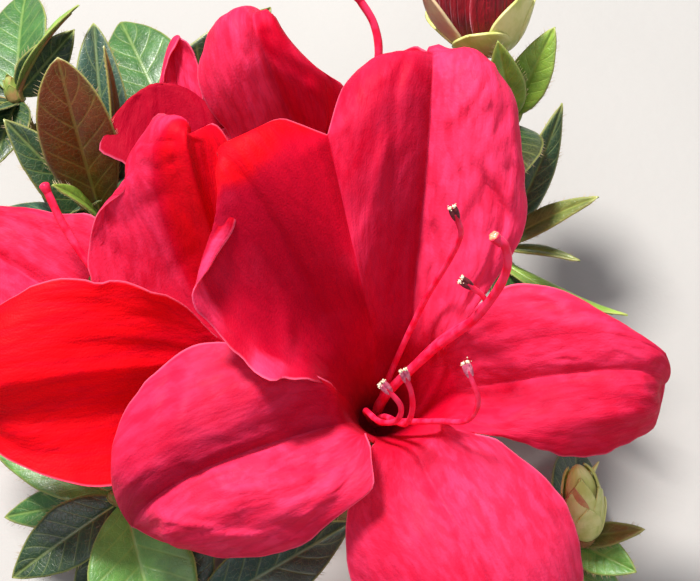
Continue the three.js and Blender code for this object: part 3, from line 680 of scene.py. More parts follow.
def anther(shape, end, way, seed, pale):
    """Two slim pollen sacs side by side on the tip of a filament, open at their pale tips."""
    rng = np.random.default_rng(seed)
    side = unit(cross(way, OUT))
    top = cross(side, way)

    def girth(height, turn):
        return (1 + 0.1 * height) * (1 - 0.2 * exp(-((turn - pi) ** 2) * 4))

    def sac(place, way, down, up, *settings):
        egg(shape, place - way * down, place + way * up, *settings)

    for hand in (-1, 1):
        lean = unit(way + side * hand * 0.04)
        tip = end + side * hand * 0.26 + lean * 1.25
        sac(tip, lean, 2.35, 0, 0.36, 16, 14, 4 if pale else 1, seed + hand, girth)
        sac(tip, lean, 0.42, 0.1, 0.26, 12, 8, 2, seed + hand)
        sac(tip, lean, 0.2, 0.14, 0.14, 10, 6, 1, seed + hand)
        for place in tip - lean * 0.15 + rng.normal(0, 1, (9, 3)) * 0.17 + top * 0.1:
            size = rng.uniform(0.05, 0.1)
            sac(place, lean, size, size, size, 6, 4, 2, seed)
    sac(end - top * 0.2, way, 0.9, 0.5, 0.28, 10, 8, 1, seed)


def stigma(shape, end, way, seed, look):
    """The flared, sticky head of the style: a trumpet with a low cushion of five lobes."""
    reach = linspace(-1.3, 0.25, 12)
    tube(shape, end + way * reach[:, None], 0.5 + 0.2 * smooth((reach + 1.1) / 1.3), 20, 0, seed)
    egg(shape, end - way * 0.15, end + way * 0.6, 0.7, 30, 12, look, seed,
        lambda height, turn: (0.9 + 0.1 * height) * (1 + 0.1 * cos(5 * turn)))


def threads(shape, bloom):
    """The stamens and the style of a bloom, rising from the foot of its tube."""
    for i, route in enumerate([*bloom.stamens, bloom.style]):
        line = spline(at([bloom.foot, *route]), 70)
        share = linspace(0, 1, 71)
        is_style = i == len(bloom.stamens)
        radius = mix(0.72, 0.52, share) if is_style else mix(0.5, 0.34, share)
        radius = radius * (1 + 0.05 * noise(share * 30, share * 0 + i, i + 40))
        tube(shape, line, radius, 12, 0, i + 3)
        way = unit(line[-1] - line[-4])
        if is_style:
            stigma(shape, line[-1], way, i + 60, 3 if bloom.stamens else 0)
        else:
            anther(shape, line[-1], way, i + 60, i in PALE_ANTHERS)


def lobe(angle, tip, belly, *halves, left=(), right=(), left_seam=(), right_seam=(), **unusual):
    """A lobe of a corolla, as in the model, with its crumpling, the painted light on each half (a lit pink
    above 0, a purer backlit red below 0), its painted shade and, where the photograph shows them, the
    points that its margins run through."""
    usual = dict(
        face=[0, 0, 1], widest=0.55, blunt=1.6, fold=0.2, cup=0, ruffle=0.6, scallop=0.03, waves=2,
        phase=angle / 100, lift=(0, 0), crumple=(0.8, 0.8), wrinkle=(0.1, 0.1), groove=0.25,
        pink=(0.4, 0.4), turn=0, creases=(), curls=(), shade=(0, 0, 0, 0, 1.2), end_pink=0,
    )
    sides = ((-1, left, left_seam), (1, right, right_seam))
    placed = dict(angle=angle, tip=tip, belly=belly, halves=halves, sides=sides)
    return SimpleNamespace(**{**usual, **unusual, **placed})


UPPER_SEAM = (0.72, [[-4.9, 11.7, 0.5], [-7, 20.5, 3], [-9.2, 30.4, 5]])
RIGHT_SEAM = (0.36, [[5.9, 3.9, -2], [10.1, 9.2, -1]])
LOWER_SEAM = (0.34, [[5.1, -6.3, 0], [9.2, -7.2, 1]])
# In these tables a lobe's pink setting paints lit pink or backlit red on its halves, its shade setting
# paints shadow on them, and its end setting paints backlit red on the tip.
FRONT_LOBES = [
    lobe(72, [4.2, 41.5, -2], [3.2, 24, -1], 13.5, 14, blunt=2, fold=0.3, cup=-0.1, lift=(-1.5, 0),
        crumple=(0.9, 1.2), wrinkle=(0.25, 0.85), groove=0.5, pink=(0.3, 1),
        shade=(0.05, 0.45, 0, 0, 1.2), left=[[-8, 34.6, 3.5], [-6.9, 37.4, 2], [-4.9, 39.6, 1],
        [-2.4, 40.4, 0], [0.3, 41.6, -1], [2.4, 42.6, -2]], right=[[12.5, 12.3, -1], [14.1, 15.1, -1],
        [15.6, 18.5, -1], [16.4, 23.3, -1], [15.5, 29.6, 0], [14.7, 34.7, 0], [12.9, 39.1, -1],
        [9.5, 41.8, -2], [5.7, 42, -2.5]], left_seam=UPPER_SEAM, right_seam=RIGHT_SEAM,
        creases=(([[9, 27.3], [11.8, 23.2], [14.5, 18.5]], -1.2, 0.7), ([[10.6, 28], [13.2, 24],
        [15, 20.5]], 0.7, 0.8), ([[10, 34.7], [11.5, 32.2], [12.4, 30.3]], -0.9, 1.6), ([[11.3, 29],
        [12.8, 29.9]], 0.5, 0.4), ([[12.4, 27.3], [14, 28.2]], 0.5, 0.4), ([[13.2, 25.5], [14.7, 26.3]],
        0.5, 0.4), ([[13.8, 23.8], [15.1, 24.4]], 0.4, 0.4), ([[7.7, 29], [6.4, 25.4]], 0.5, 0.45),
        ([[10, 22.6], [11.8, 21.5]], 0.45, 0.4), ([[9, 20.3], [11.5, 19.2]], 0.45, 0.4), ([[-1.8, 31.8],
        [-2.4, 27], [-2.8, 21.9]], 0.9, 1.1))),
    lobe(144, [-22.6, 27.6, 9], [-13.9, 15.6, 4], 12.5, 12, fold=0.08, cup=0.05, ruffle=0.5, scallop=0.05,
        waves=1.5, phase=0.65, lift=(1.5, 0.5), crumple=(0.6, 0.6), wrinkle=(0.05, 0.05),
        pink=(0.05, -0.1), shade=(0.25, 0.3, 0.25, 0, 0.74), end_pink=-0.9, left=[[-11.6, -0.2, 4],
        [-14.7, 0.3, 5], [-17.4, 0.6, 6], [-20.7, 3.6, 6], [-24.2, 6.5, 6], [-27.2, 10.7, 7],
        [-24.3, 14.5, 8], [-20.4, 19.3, 9], [-21.2, 23.9, 9]], right=[[-12.4, 31.4, 6], [-14.7, 32.2, 7],
        [-17.2, 31.3, 8], [-20.2, 28.8, 9]], right_seam=UPPER_SEAM, curls=((2.2, 0.68, 0.12),
        (1.2, 0.385, 0.035)), creases=(([[-14.7, 9.5], [-14.4, 1.5]], 0.7, 0.9),)),
    lobe(216, [-34.9, -20.1, -5], [-19.5, -9.6, 2], 13.2, 13, widest=0.5, fold=0.32, cup=-0.12,
        lift=(1.2, -1.5), wrinkle=(0.75, 0.5), groove=0.5, pink=(0.7, 0.55), shade=(0, 0.1, 0.6, 0, 1.2),
        left=[[-4.9, -6.2, 1], [-3.6, -9.8, 3], [-3.4, -13.7, 4], [-7, -16.8, 3], [-12.8, -21.5, 1],
        [-17.7, -23.3, 0], [-24.4, -22.9, -1], [-30.5, -21.9, -3]], right=[[-8.3, -1.2, 0],
        [-17.6, 3.1, 1], [-25.6, 4.2, 0], [-32.2, -0.3, -1], [-36.5, -6.5, -2], [-37.4, -12.4, -3],
        [-36.5, -17.1, -4]], creases=(([[-29.2, 2.5], [-29.6, -5.6]], -0.9, 1), ([[-26.9, 1.4],
        [-27.8, -6.9]], 0.6, 1.2), ([[-7, -9.9], [-8.9, -15.6]], 0.5, 0.6), ([[-10, -9.5], [-11.2, -15]],
        -0.5, 0.6), ([[-17.6, -18.8], [-12.8, -20]], 0.5, 0.5), ([[-20.4, -13.1], [-20.9, -18.8]], 0.5,
        0.7))),
    lobe(288, [16.3, -37.6, -6], [7.5, -19.5, 2], 13.5, 14, fold=0.16, cup=-0.08, lift=(1.2, -1.2),
        wrinkle=(0.2, 0.2), pink=(0.9, 0.6), left=[[12, -8, 2], [16.4, -10.8, 2], [20.4, -15.1, 1],
        [22.4, -19.7, 0], [23.8, -26.7, -2], [22.4, -33.7, -4]], right=[[-4.5, -9.5, 0], [-6.2, -14.6, 0],
        [-6.8, -19.9, -1], [-6.1, -26.8, -3], [-1.2, -35, -5], [6.8, -38.5, -6]], left_seam=LOWER_SEAM),
    lobe(0, [35, -1.2, -5], [19.8, 0.2, 1], 11.5, 10.5, widest=0.48, cup=-0.08, lift=(0, -1.2),
        wrinkle=(0.4, 0.3), pink=(0.6, 0.35), left=[[13.8, 11.4, 0], [18.5, 11.7, 1], [24.2, 9.4, 1],
        [29.2, 5.5, 0], [33.1, 2, -2]], right=[[12.3, -7.7, 1], [18.5, -9.6, 1], [22.4, -10.4, 0],
        [28.4, -9.1, -1], [32.9, -6.9, -3], [34.5, -3.7, -5]], left_seam=RIGHT_SEAM,
        right_seam=LOWER_SEAM, creases=(([[12.2, -6.2], [15.9, -4.3], [19.5, -2]], 0.9, 0.8),)),
]
FRONT_BLOOM = SimpleNamespace(
    stalk=[[-8.2, -10.4, -38.4], [-5.2, -10.2, -33]],
    foot=[-2.9, -8.6, -28],
    mouth=[0, 0, 0],
    mouth_radius=11,
    lobes=FRONT_LOBES,
    stamens=[
        [[-1.2, -1.3, -14], [3.3, 9.7, -2], [6.3, 15.4, 6], [7.1, 18.1, 10], [6.2, 20.2, 12]],
        [[-0.9, -3, -14], [5.4, 4.6, -4], [10.2, 8.3, 4], [10, 10.2, 8], [7.8, 11.8, 10]],
        [[-4.2, -5.4, -12], [-2.4, -6.4, -6], [-0.3, -5.6, 0], [-0.1, -3.4, 4], [-1.9, -1.2, 6]],
        [[-1.6, -6.2, -12], [0.8, -6.5, -4], [1.5, -4.2, 2], [1.2, -1.7, 6], [0.4, 0.4, 8]],
        [[-1, -7, -13], [5.1, -5.8, 0], [8.3, -5.1, 6], [9.3, -2.7, 9], [7.9, 1.3, 11]],
    ],
    style=[
        [-1.8, -3.8, -15], [4.1, 2.9, -4], [9.1, 7.5, 6], [11.8, 12.2, 14], [12, 14.8, 18],
        [11.3, 16.5, 19.6], [10.3, 17.1, 20.2],
    ],
)

LEFT_LOBES = [
    lobe(270, [-58.6, -4, -6], [-42, 0.3, 0], 12.5, 15.5, face=[-0.2, 0.4, -0.9], fold=0.12, cup=0.1,
        wrinkle=(0.15, 0.15), pink=(-0.9, -0.9), left=[[-25.7, 5, -8], [-28.5, 9.5, -3], [-32.1, 11, 0],
        [-38.3, 12.3, 1], [-43.4, 12.6, 1], [-48.7, 11, 0], [-53.7, 7.1, -2]], right=[[-24.8, -3.9, -12],
        [-29.2, -11.1, -9], [-35.3, -14.2, -5], [-40, -14.6, -3], [-44, -13.6, -2], [-47.8, -12.3, -2],
        [-52, -10.2, -3]]),
    lobe(342, [-26.6, 30.7, 3], [-25, 20.6, 1], 5.5, 14, face=[-0.2, -0.1, -0.95], fold=0.4,
        wrinkle=(0.1, 0.5), pink=(-0.7, 0.55), turn=0.3, left=[[-22.3, 11, 0], [-21, 17.4, 1],
        [-20.7, 22.5, 1], [-21.4, 28.6, 0], [-23.9, 32.4, 0]], right=[[-40.1, 11.7, -6],
        [-40.3, 17.3, -4], [-39.1, 21.2, -2], [-35.5, 24, -1], [-35.2, 26.8, -1], [-33.6, 30.4, -1],
        [-30.9, 33.6, 0]]),
    lobe(54, [-30.2, 46.4, -18], [-28.8, 30, -20], 3.6, 3.2, fold=0.3, pink=(0.7, 0.7),
        left=[[-33.8, 34, -19.5], [-33.2, 38.7, -19], [-32.2, 41.9, -18.5], [-31.3, 44, -18]],
        right=[[-26.8, 35, -19.5], [-27.4, 40.4, -19], [-27.8, 43.2, -18.5], [-28.8, 45.1, -18]]),
    lobe(126, [-32.5, 38, -14], [-31.5, 25.6, -16], 7, 9, fold=0.02, groove=0, blunt=2, pink=(-0.2, -0.2),
        shade=(0.6, 0.6, 0.6, 0.6, 1.2), left=[[-36.7, 27.7, -13], [-38.9, 29.1, -13], [-40.7, 30, -13],
        [-40, 32.7, -13], [-37.8, 35.9, -13.5], [-35.1, 37.6, -14]], right=[[-22.3, 24.8, -15],
        [-22.7, 30.3, -15], [-24.6, 35, -15], [-27.3, 37.6, -15], [-29.6, 38.2, -15]]),
    lobe(198, [-62.7, 18.2, -14], [-48.5, 11.8, -12], 11, 9, face=[0, 0.3, 0.95], wrinkle=(0.4, 0.4),
        pink=(0.6, 0.6), right=[[-37.5, 17.5, -11], [-41.2, 20.9, -11], [-46.2, 21.4, -12],
        [-51.7, 22.2, -13], [-57.5, 21.9, -14]]),
]
LEFT_BLOOM = SimpleNamespace(
    stalk=[[-10.6, -10, -38.6], [-11.8, -8.6, -28]],
    foot=[-15.7, -4.8, -20],
    mouth=[-29.5, 8.2, -12],
    mouth_radius=9,
    lobes=LEFT_LOBES,
    stamens=[],
    style=[
        [-22, 1, -16], [-31, 8, -11], [-39.7, 13, -8], [-44, 19.2, -6], [-46.3, 24.5, -4],
    ],
)

BACK_LOBES = [
    lobe(33, [4.9, 36.4, -23], [-0.9, 30.3, -19], 8, 8),
    lobe(105, [-18.4, 48.8, -13], [-15.9, 37.7, -10], 9.5, 8, fold=0.35, wrinkle=(0.45, 0.9), groove=0.5,
        pink=(0.75, 0.1), left=[[-18.9, 24.9, -16], [-21.9, 30.6, -14], [-24.5, 34.4, -12],
        [-26.3, 37.8, -11], [-26.8, 41.1, -11], [-26, 44.8, -11], [-23.8, 47.4, -12],
        [-21.4, 48.9, -12.5]], right=[[-9.2, 30.4, -16], [-6.8, 38.3, -13], [-8.4, 39.6, -12],
        [-12.8, 41.7, -12], [-15.5, 43.6, -12], [-17.6, 45.7, -13]]),
    lobe(177, [-27, 24, -21], [-19.3, 24.6, -18], 8, 8),
    lobe(249, [-18.2, 11, -20], [-14.5, 18.5, -17], 8, 8),
    lobe(321, [-0.1, 18.1, -24], [-3.7, 22.6, -18], 8, 8),
]
BACK_BLOOM = SimpleNamespace(
    stalk=[[-9.6, -8.7, -39.8], [-8.6, 3, -42]],
    foot=[-7.2, 11, -38],
    mouth=[-9.9, 27, -18],
    mouth_radius=8.5,
    lobes=BACK_LOBES,
    stamens=[],
    style=[
        [-8.4, 24, -22], [-6.4, 33.9, -12], [-2.7, 41.5, -8], [-3.2, 46, -6], [-5.5, 49.5, -4],
    ],
)

# Stalks, boughs and twigs

STALK_RADIUS = 0.95
CALYX_START = -3
CALYX_FULL = -1.4
CALYX_RIM = -0.4
CALYX_TEETH = 6.5
SCAR_SPACING = 6.5
HAIR_WIDTH = 0.035
LEAF_HAIR_WIDTH = 0.03


def sheath(shape, foot, axis, profile, angle, spread, low, high, lift, twist, point, thick, look,
           seed, cells):
    """A scale, sepal or furled petal that wraps round a body. The profile gives the body's
    radius at each height; the scale runs from low to high, and lifts off towards its tip."""
    rows, cols = cells
    s, t = grid(1 - (1 - linspace(0, 1, rows + 1)) ** 1.4, linspace(-1, 1, cols + 1))
    height = mix(low, high, s)
    width = spread * mix(0.8, 1, sin(pi * minimum(s, 0.5))) * (1 - s**3.2) ** point
    turn = t * maximum(width, 0.03)
    radius = profile(height) + 0.15 + lift * s**2 + 0.12 * t**2 * s
    around = turned(across(axis), angle + turn + twist * s)
    points = foot + axis * height[:, None] + around * radius[:, None]
    shape.add_sheet(points, grid_quads(rows, cols), thick, look, {
        "spot": coords(turn * maximum(radius, 0.5), height, seed * 4.3),
        "lobe": coords(t, s),
        "margin": minimum((1 - abs(t)) * width * radius, (1 - s) * (high - low)),
    })


def bristles(line, radius, count, length, lean, seed):
    """Hairs scattered over a limb, leaning towards its tip."""
    rng = np.random.default_rng(seed)
    way, *pair = frames(line)
    step = rng.integers(1, len(line) - 1, count)
    out = turned([e[step] for e in pair], rng.uniform(0, 2 * pi, count))
    reach = length * rng.uniform(0.6, 1.2, count)
    hairs(line[step] + out * radius * 0.95, out + way[step] * lean, reach, HAIR_WIDTH)


def stalk(shape, route, mouth, seed):
    """A hairy bloom stalk with the cup and five sepals that hold the foot of the tube."""
    path = at(route)
    foot, way = path[-1], unit(path[-1] - path[-2])
    line = spline([*path[:-1], foot + way * CALYX_FULL], 40)
    tube(shape, line, linspace(1, 0.9, 41) * STALK_RADIUS, 14, 0, seed)
    bristles(line, STALK_RADIUS, 220, 1.1, 0.8, seed)

    def cup(height):
        return interp(height, [-3, -1.4, 0.3, 7], [0.9, 3.1, 3.1, 3.7])

    heights = linspace(CALYX_START, CALYX_RIM, 12)
    tube(shape, foot + way * heights[:, None], cup(heights) + 0.2, 24, 1, seed)
    for i in range(LOBES):
        sheath(shape, foot, unit(at(mouth) - foot), cup, i * 2 * SECTOR, 0.42, -1.5, CALYX_TEETH,
               1.2, 0, 0.8, 0.4, 1, seed + i, (16, 8))


def bough(shape, route, thick, thin, steps, sides, seed):
    """A woody limb: uneven round its section, with swollen leaf scars along it."""
    line = spline(at(route), steps)
    share = linspace(0, 1, steps + 1)[:, None]
    turn = linspace(0, 2 * pi, sides + 1)
    length = lengths(line)[-1]
    run = share * length
    x, y = cos(turn) * 2.2 + 20, sin(turn) * 2.2 + 20
    uneven = noise(x + run * 0.03, y + run * 0.05, seed) + 0.5 * noise(x * 2.1, y + run * 0.35, seed + 1)
    radius = mix(thick, thin, share) * (1 + 0.07 * uneven)
    rng = np.random.default_rng(seed + 2)
    for k, place in enumerate(arange(4, length - 3, SCAR_SPACING)):
        place = place + rng.uniform(-1, 1)
        around = (k * 2.4 + rng.uniform(-0.3, 0.3)) % (2 * pi)
        gap = abs((turn - around + pi) % (2 * pi) - pi) * mix(thick, thin, 0.5)
        radius = radius + 0.4 * exp(-(((run - place) / 0.8) ** 2) - (gap / 0.9) ** 2)
        radius = radius - 0.25 * exp(-(((run - place) / 0.3) ** 2) - (gap / 0.4) ** 2)
    radius[:, -1] = radius[:, 0]
    tube(shape, line, radius, sides, 0, seed)
    return line


# Leaves

LEAF_THICK = 0.26
TONES = {
    "dark": (34, 62, 34),
    "mid": (58, 100, 46),
    "fresh": (128, 164, 58),
    "light": (92, 142, 62),
    "cool": (50, 84, 66),
    "blue": (36, 68, 54),
    "olive": (104, 116, 56),
    "bronze": (92, 60, 12),
}


def numbers(seed):
    """A seeded run of numbers from 0 to 1, the same as the model's."""
    while True:
        seed = (seed * 1664525 + 1013904223) % 4294967296
        yield seed / 4294967296


def leaf(tone, base, tip, half, face, bow=0.05, blush=0, blunt=0):
    """A leaf placed as listed, from its base to its tip in the view frame."""
    start, end = at([base, tip])
    return SimpleNamespace(start=start, way=end - start, face=toward(face), half=half, bow=bow,
                           fold=0.25, tone=tone, blush=blush, blunt=blunt)


def whorl(top, way, seed, *leaves):
    """Leaves round the end of a twig, a little uneven: angle round it, lean and length."""
    draw = numbers(seed)
    axis = unit(toward(way))
    for i, (around, lean, length) in enumerate(leaves):
        outward = turned(across(axis), radians(around + 16 * (next(draw) - 0.5)))
        slope = radians(lean + 12 * (next(draw) - 0.5))
        yield SimpleNamespace(
            start=at(top) - axis * 0.7 * i,
            way=(axis * cos(slope) + outward * sin(slope)) * length,
            face=axis * sin(slope) - outward * cos(slope),
            half=length * (0.22 + 0.06 * next(draw)),
            bow=0.03 + 0.05 * next(draw),
            fold=0.2 + 0.2 * next(draw),
            tone=("mid", "dark", "cool")[i % 3],
            blush=0.15 * (i % 2),
            blunt=0.2,
        )


def leaf_width(s, blunt):
    """How wide a leaf is along its length: a short stalk, then the blade."""
    blade = sin(pi * s ** mix(0.85, 1.3, blunt)) ** mix(0.85, 0.62, blunt)
    return maximum(where(s < 0.5, 0.09, 0.015), blade)


def blade(shape, twigs, one, seed):
    """A leaf's blade: folded along its rib, quilted between its side veins, hairy on its rim."""
    length = norm(one.way)
    along = one.way / length
    side = unit(cross(along, one.face))
    normal = cross(side, along)

    def place(s, t, drop=0):
        a = abs(t)
        wavy = 1 + 0.02 * noise(s * 14, np.sign(t) * 2 + 5, seed)
        width = one.half * leaf_width(s, one.blunt) * wavy
        vein = abs(sin(pi * (s - 0.2 * a) * 8)) ** 0.6 - 0.6
        body = smooth(s / 0.2) * smooth((1 - s) / 0.1)
        rise = one.bow * length * 4 * s * (1 - s) + one.fold * width * a - 0.25 * a**6 * body
        rise = rise + one.half * 0.045 * vein * (1 - a**2) * body * smooth(a / 0.15)
        rise = rise + one.half * 0.07 * noise(s * 3, t + 4, seed + 1) * a * body
        rise = rise - 0.12 * exp(-((t * width / 0.35) ** 2)) - drop
        points = one.start + one.way * s[:, None] + side * (width * t)[:, None] + normal * rise[:, None]
        return landed(points), width

    steps = concatenate([linspace(0, 0.85, 27, endpoint=False), linspace(0.85, 1, 8)])
    s, t = grid(steps, linspace(-1, 1, 19))
    points, width = place(s, t)
    tone = array(srgb(*TONES[one.tone])[:3]) * (1 + 0.12 * sin(seed * 2.3))
    shape.add_sheet(points, grid_quads(len(steps) - 1, 18), LEAF_THICK, 0, {
        "spot": coords(t * width, s * length, seed * 2.9),
        "lobe": coords(t, s),
        "margin": where(s < 0.06, 1, minimum((1 - abs(t)) * width, (1 - s) * length)),
        "blush": one.blush * smooth(s * 1.6 - 0.3),
    }, tone=tone, under=np.repeat([0, 1], len(s)))
    spine = place(linspace(0, 0.9, 26), np.zeros(26), 0.16)[0]
    tube(twigs, spine, mix(0.5, 0.14, linspace(0, 1, 26) ** 0.5), 8, 0, seed)
    rng = np.random.default_rng(seed)
    for hand in (-1, 1):
        roots = place(np.sort(rng.uniform(0.08, 0.97, 34)), np.full(34, hand))[0]
        way = side * hand + along * 1.1 + normal * 0.15
        hairs(roots, way, rng.uniform(0.5, 1, 34), LEAF_HAIR_WIDTH)


def end_bud(shape, foot, way, seed):
    """A small pointed bud of overlapping scales."""
    radius, length = 1.3, 3.9

    def profile(height):
        share = clip(height / length, 0, 1)
        return radius * np.sqrt(maximum(sin(pi * (0.22 + 0.72 * share)), 0.02)) * (1.05 - 0.55 * share)

    for i in range(7):
        low = length * 0.07 * i
        sheath(shape, foot, way, profile, i * 2.4, 1, low - 0.3, low + length * 0.62, 0.12, 0,
               0.9, 0.16, 1, seed + i, (12, 8))
    egg(shape, foot - way * 0.3, foot + way * length * 0.98, radius * 0.85, 16, 10, 1, seed)


def spray(name, seed, route, *leaves):
    """A bough along the first half of a route, and a leafy twig along the other half."""
    wood, green, twigs = Shape(), Shape(), Shape()
    line = bough(wood, route[:3], 1.5, 1.2, 60, 18, seed)
    bristles(line, 1.3, 120, 0.9, 1.6, seed + 5)
    wood.piece("wood_" + name, "bark", [TWIG], "bough_" + name)
    line = spline(at(route[2:]), 24)
    tube(twigs, line, linspace(1.1, 0.9, 25), 14, 0, seed)
    bristles(line, 1, 90, 0.9, 1.4, seed + 6)
    way = unit(line[-1] - line[-3])
    end_bud(twigs, line[-1] - way * 0.8, way, seed + 7)
    for i, one in enumerate(leaves):
        blade(green, twigs, one, seed * 10 + i)
    green.piece("foliage_" + name, "leaves", [LEAF], "leaves_" + name)
    twigs.piece("twigs_" + name, "stalks", [STALK, SEPAL], "leaves_" + name)


# Stem and blooms

STEM = [[-46, -108.2, 21.2], [-38, -79, 2.9], [-27, -51.5, -14.4], [-17, -28.7, -28.9], [-9.5, -10.5, -40]]
STEM_RADIUS = 2.5

wood = Shape()
line = bough(wood, STEM, STEM_RADIUS, 1.8, 150, 26, 1)
ring, turn = grid(linspace(0.02, 1, 14), linspace(0, 2 * pi, 27))
way, *pair = frames(line)
out = turned([e[0] for e in pair], turn) * (STEM_RADIUS * ring)[:, None]
spot = coords(STEM_RADIUS * ring * cos(turn), STEM_RADIUS * ring * sin(turn))
disc = line[0] - way[0] * 0.02 * (1 - ring[:, None]) + out
wood.add(disc, grid_quads(13, 26), 1, spot=spot, share=ring)
wood.piece("stem_wood", "bark", [BARK, CUT], "stem")

for name, bloom, cells in (
    ("front", FRONT_BLOOM, (96, 72)), ("left", LEFT_BLOOM, (72, 56)), ("back", BACK_BLOOM, (56, 44)),
):
    petals, centre, green = Shape(), Shape(), Shape()
    corolla(petals, bloom, cells)
    petals.piece("petals_" + name, "petals", [PETAL], "bloom_" + name, welded=True)
    threads(centre, bloom)
    centre.piece("threads_" + name, "petals", [FILAMENT, ANTHER, POLLEN, STIGMA, PALE_ANTHER])
    stalk(green, [*bloom.stalk, bloom.foot], bloom.mouth, len(name) * 11)
    green.piece("calyx_" + name, "stalks", [STALK, SEPAL], "stalk_" + name)

# Buds


def bud(shape, route, tip, radius, petals, seed, look, twist):
    """A closed flower bud: a body wrapped in furled petals that wind round it."""
    path = at(route)
    line = spline(path, 16)
    tube(shape, line, 1.1, 14, 1, seed)
    bristles(line, 1.05, 60, 0.8, 1.2, seed)
    foot, end = path[-1], at(tip)
    length = norm(end - foot)
    way = (end - foot) / length

    def profile(height):
        share = clip(height / length, 0, 1)
        return radius * np.sqrt(maximum(1 - (2 * share - 1) ** 2, 0)) * (1.12 - 0.3 * share)

    egg(shape, foot, end, radius * 0.96, 40, 28, look, seed,
        lambda height, turn: (1 - 0.16 * height) * (1 + 0.03 * sin(petals * turn + 2.2 * height)))
    for i in range(petals):
        sheath(shape, foot, way, profile, i * 2 * pi / petals, 1.05, length * 0.04,
               length * (0.97 - 0.02 * i), 0.25, twist, 0.7, 0.3, look, seed + i, (36, 22))
    return foot, way, length, profile


red = Shape()
red_route = [[17.3, 38.6, -26.3], [16.6, 41.5, -25], [15, 45, -23.5]]
foot, way, length, profile = bud(red, red_route, [5.9, 65.9, -14], 6.8, 5, 70, 0, 1.1)
for angle, spread, high, lift in (
    (0.2, 1, 7, 1.4), (1.5, 0.9, 6, 1), (2.9, 0.8, 9, 1.2), (4.3, 0.9, 6, 1.6), (5.4, 0.9, 8, 1.2),
):
    sheath(red, foot, way, profile, angle, spread, -0.4, high, lift, 0, 0.7, 0.4, 2, int(angle * 9),
           (24, 14))
for angle, spread, high, lift in ((2.2, 0.3, 17, 2.2), (3.6, 0.35, 14, 1.8), (0.9, 0.3, 13, 2.4)):
    sheath(red, foot, way, profile, angle, spread, -0.6, high, lift, 0.2, 0.9, 0.4, 3, int(angle * 7),
           (26, 10))
red.piece("bud_red_petals", "bud_petals", [BUD_PETAL, STALK, BUD_SCALE, BRACT], "bud_red")

pale = Shape()
pale_route = [[25.4, -23.8, -16.4], [26, -23.4, -15], [26.2, -22.8, -14]]
foot, way, length, profile = bud(pale, pale_route, [23.6, -12.2, -6], 2.6, 3, 90, 2, 0.6)
for i in range(9):
    low = length * 0.05 * i
    sheath(pale, foot, way, profile, i * 2.4, 0.8, low - 0.5, low + length * 0.5, 0.35, 0.1, 0.9, 0.22,
           3 if i % 3 == 1 else 2, 90 + i, (20, 12))
beak = spline(at([[24.6, -15, -8.6], [25.6, -13.6, -8], [26.7, -11.8, -7.6]]), 12)
tube(pale, beak, linspace(0.8, 0.1, 13), 14, 2, 99)
pale.piece("bud_pale_scales", "bud_scales", [BUD_PETAL, STALK, BUD_SCALE, BLUSHED], "bud_pale")

# Sprays of leaves

spray("upper_left", 3, [[-13, -14, -37], [-27, 2, -36], [-38, 15, -30], [-40, 18.4, -27.6],
    [-41.5, 20.9, -26]],
    leaf("bronze", [-41.8, 20.4, -25], [-45.4, 42, -8], 5.2, (0.1, -0.5, 0.85), blush=0.45, blunt=1),
    leaf("dark", [-41.8, 20.5, -26], [-54.6, 34.8, -17], 3.6, (0.3, -0.2, 0.9)),
    leaf("cool", [-41, 20.8, -27], [-42.9, 49, -22], 3.9, (0.1, -0.2, 0.97), blunt=0.6),
    leaf("cool", [-41.8, 20.4, -26.5], [-57, 21.6, -18], 3, (0.1, 0.9, 0.35)),
    leaf("fresh", [-41.5, 20.2, -25.5], [-47, 25.4, -13], 2.2, (0.7, 0.5, 0.2)),
    leaf("bronze", [-41.2, 21, -26.5], [-40.6, 45, -17], 1.7, (0.9, 0, 0.3), blush=0.5),
    *whorl([-41, 20, -26.6], [-0.5, 0.6, 0.4], 3, (275, 85, 20)),
)
spray("top", 7, [[-13, -6, -41], [-22, 12, -42], [-30.5, 29.5, -33], [-31.4, 31.5, -31.4],
    [-32.2, 33.1, -30]],
    leaf("dark", [-33.8, 34.4, -29], [-17.8, 51.6, -24], 5.8, (0.2, -0.3, 0.93)),
    *whorl([-32, 32.8, -30.4], [-0.2, 0.7, 0.6], 7, (115, 60, 24), (165, 80, 24), (215, 85, 20),
        (300, 100, 16)),
)
spray("far_left", 11, [[-20, -28, -30], [-41, -2, -34], [-53.5, 32, -34], [-54.8, 36.6, -32],
    [-55.8, 39.8, -30]],
    leaf("fresh", [-55.4, 40.2, -29.5], [-44.4, 50.9, -18], 2.4, (-0.6, 0.6, 0.3)),
    leaf("dark", [-55.3, 39.8, -30], [-46, 48.4, -24], 3.2, (0.2, -0.2, 0.95)),
    leaf("dark", [-55.4, 39, -30.4], [-57, 28.6, -22], 3.4, (0, 0.5, 0.85)),
    *whorl([-55.6, 39.4, -30.4], [-0.3, 0.8, 0.5], 11, (90, 70, 22), (160, 75, 24), (230, 80, 20)),
)
spray("right", 17, [[-6, -9, -41], [3, 2, -42], [13, 14, -35], [14.6, 16, -33.4], [15.9, 17.7, -32]],
    leaf("dark", [15.8, 18, -31], [23.8, 37.6, -22], 2.7, (0.3, -0.3, 0.9)),
    leaf("olive", [15.9, 17.7, -31], [28.6, 24.2, -20], 1.9, (0.2, 0.4, 0.85)),
    leaf("olive", [15.6, 17.2, -31.6], [26.6, 15.3, -24], 1.3, (0, 0.7, 0.6)),
    leaf("fresh", [15, 16.2, -33], [32.4, 7.6, -18], 1.8, (0.1, 0.85, 0.5), -0.07),
    *whorl([15.4, 17, -32.6], [0.5, 0.6, 0.5], 17, (300, 110, 22), (235, 105, 20)),
)
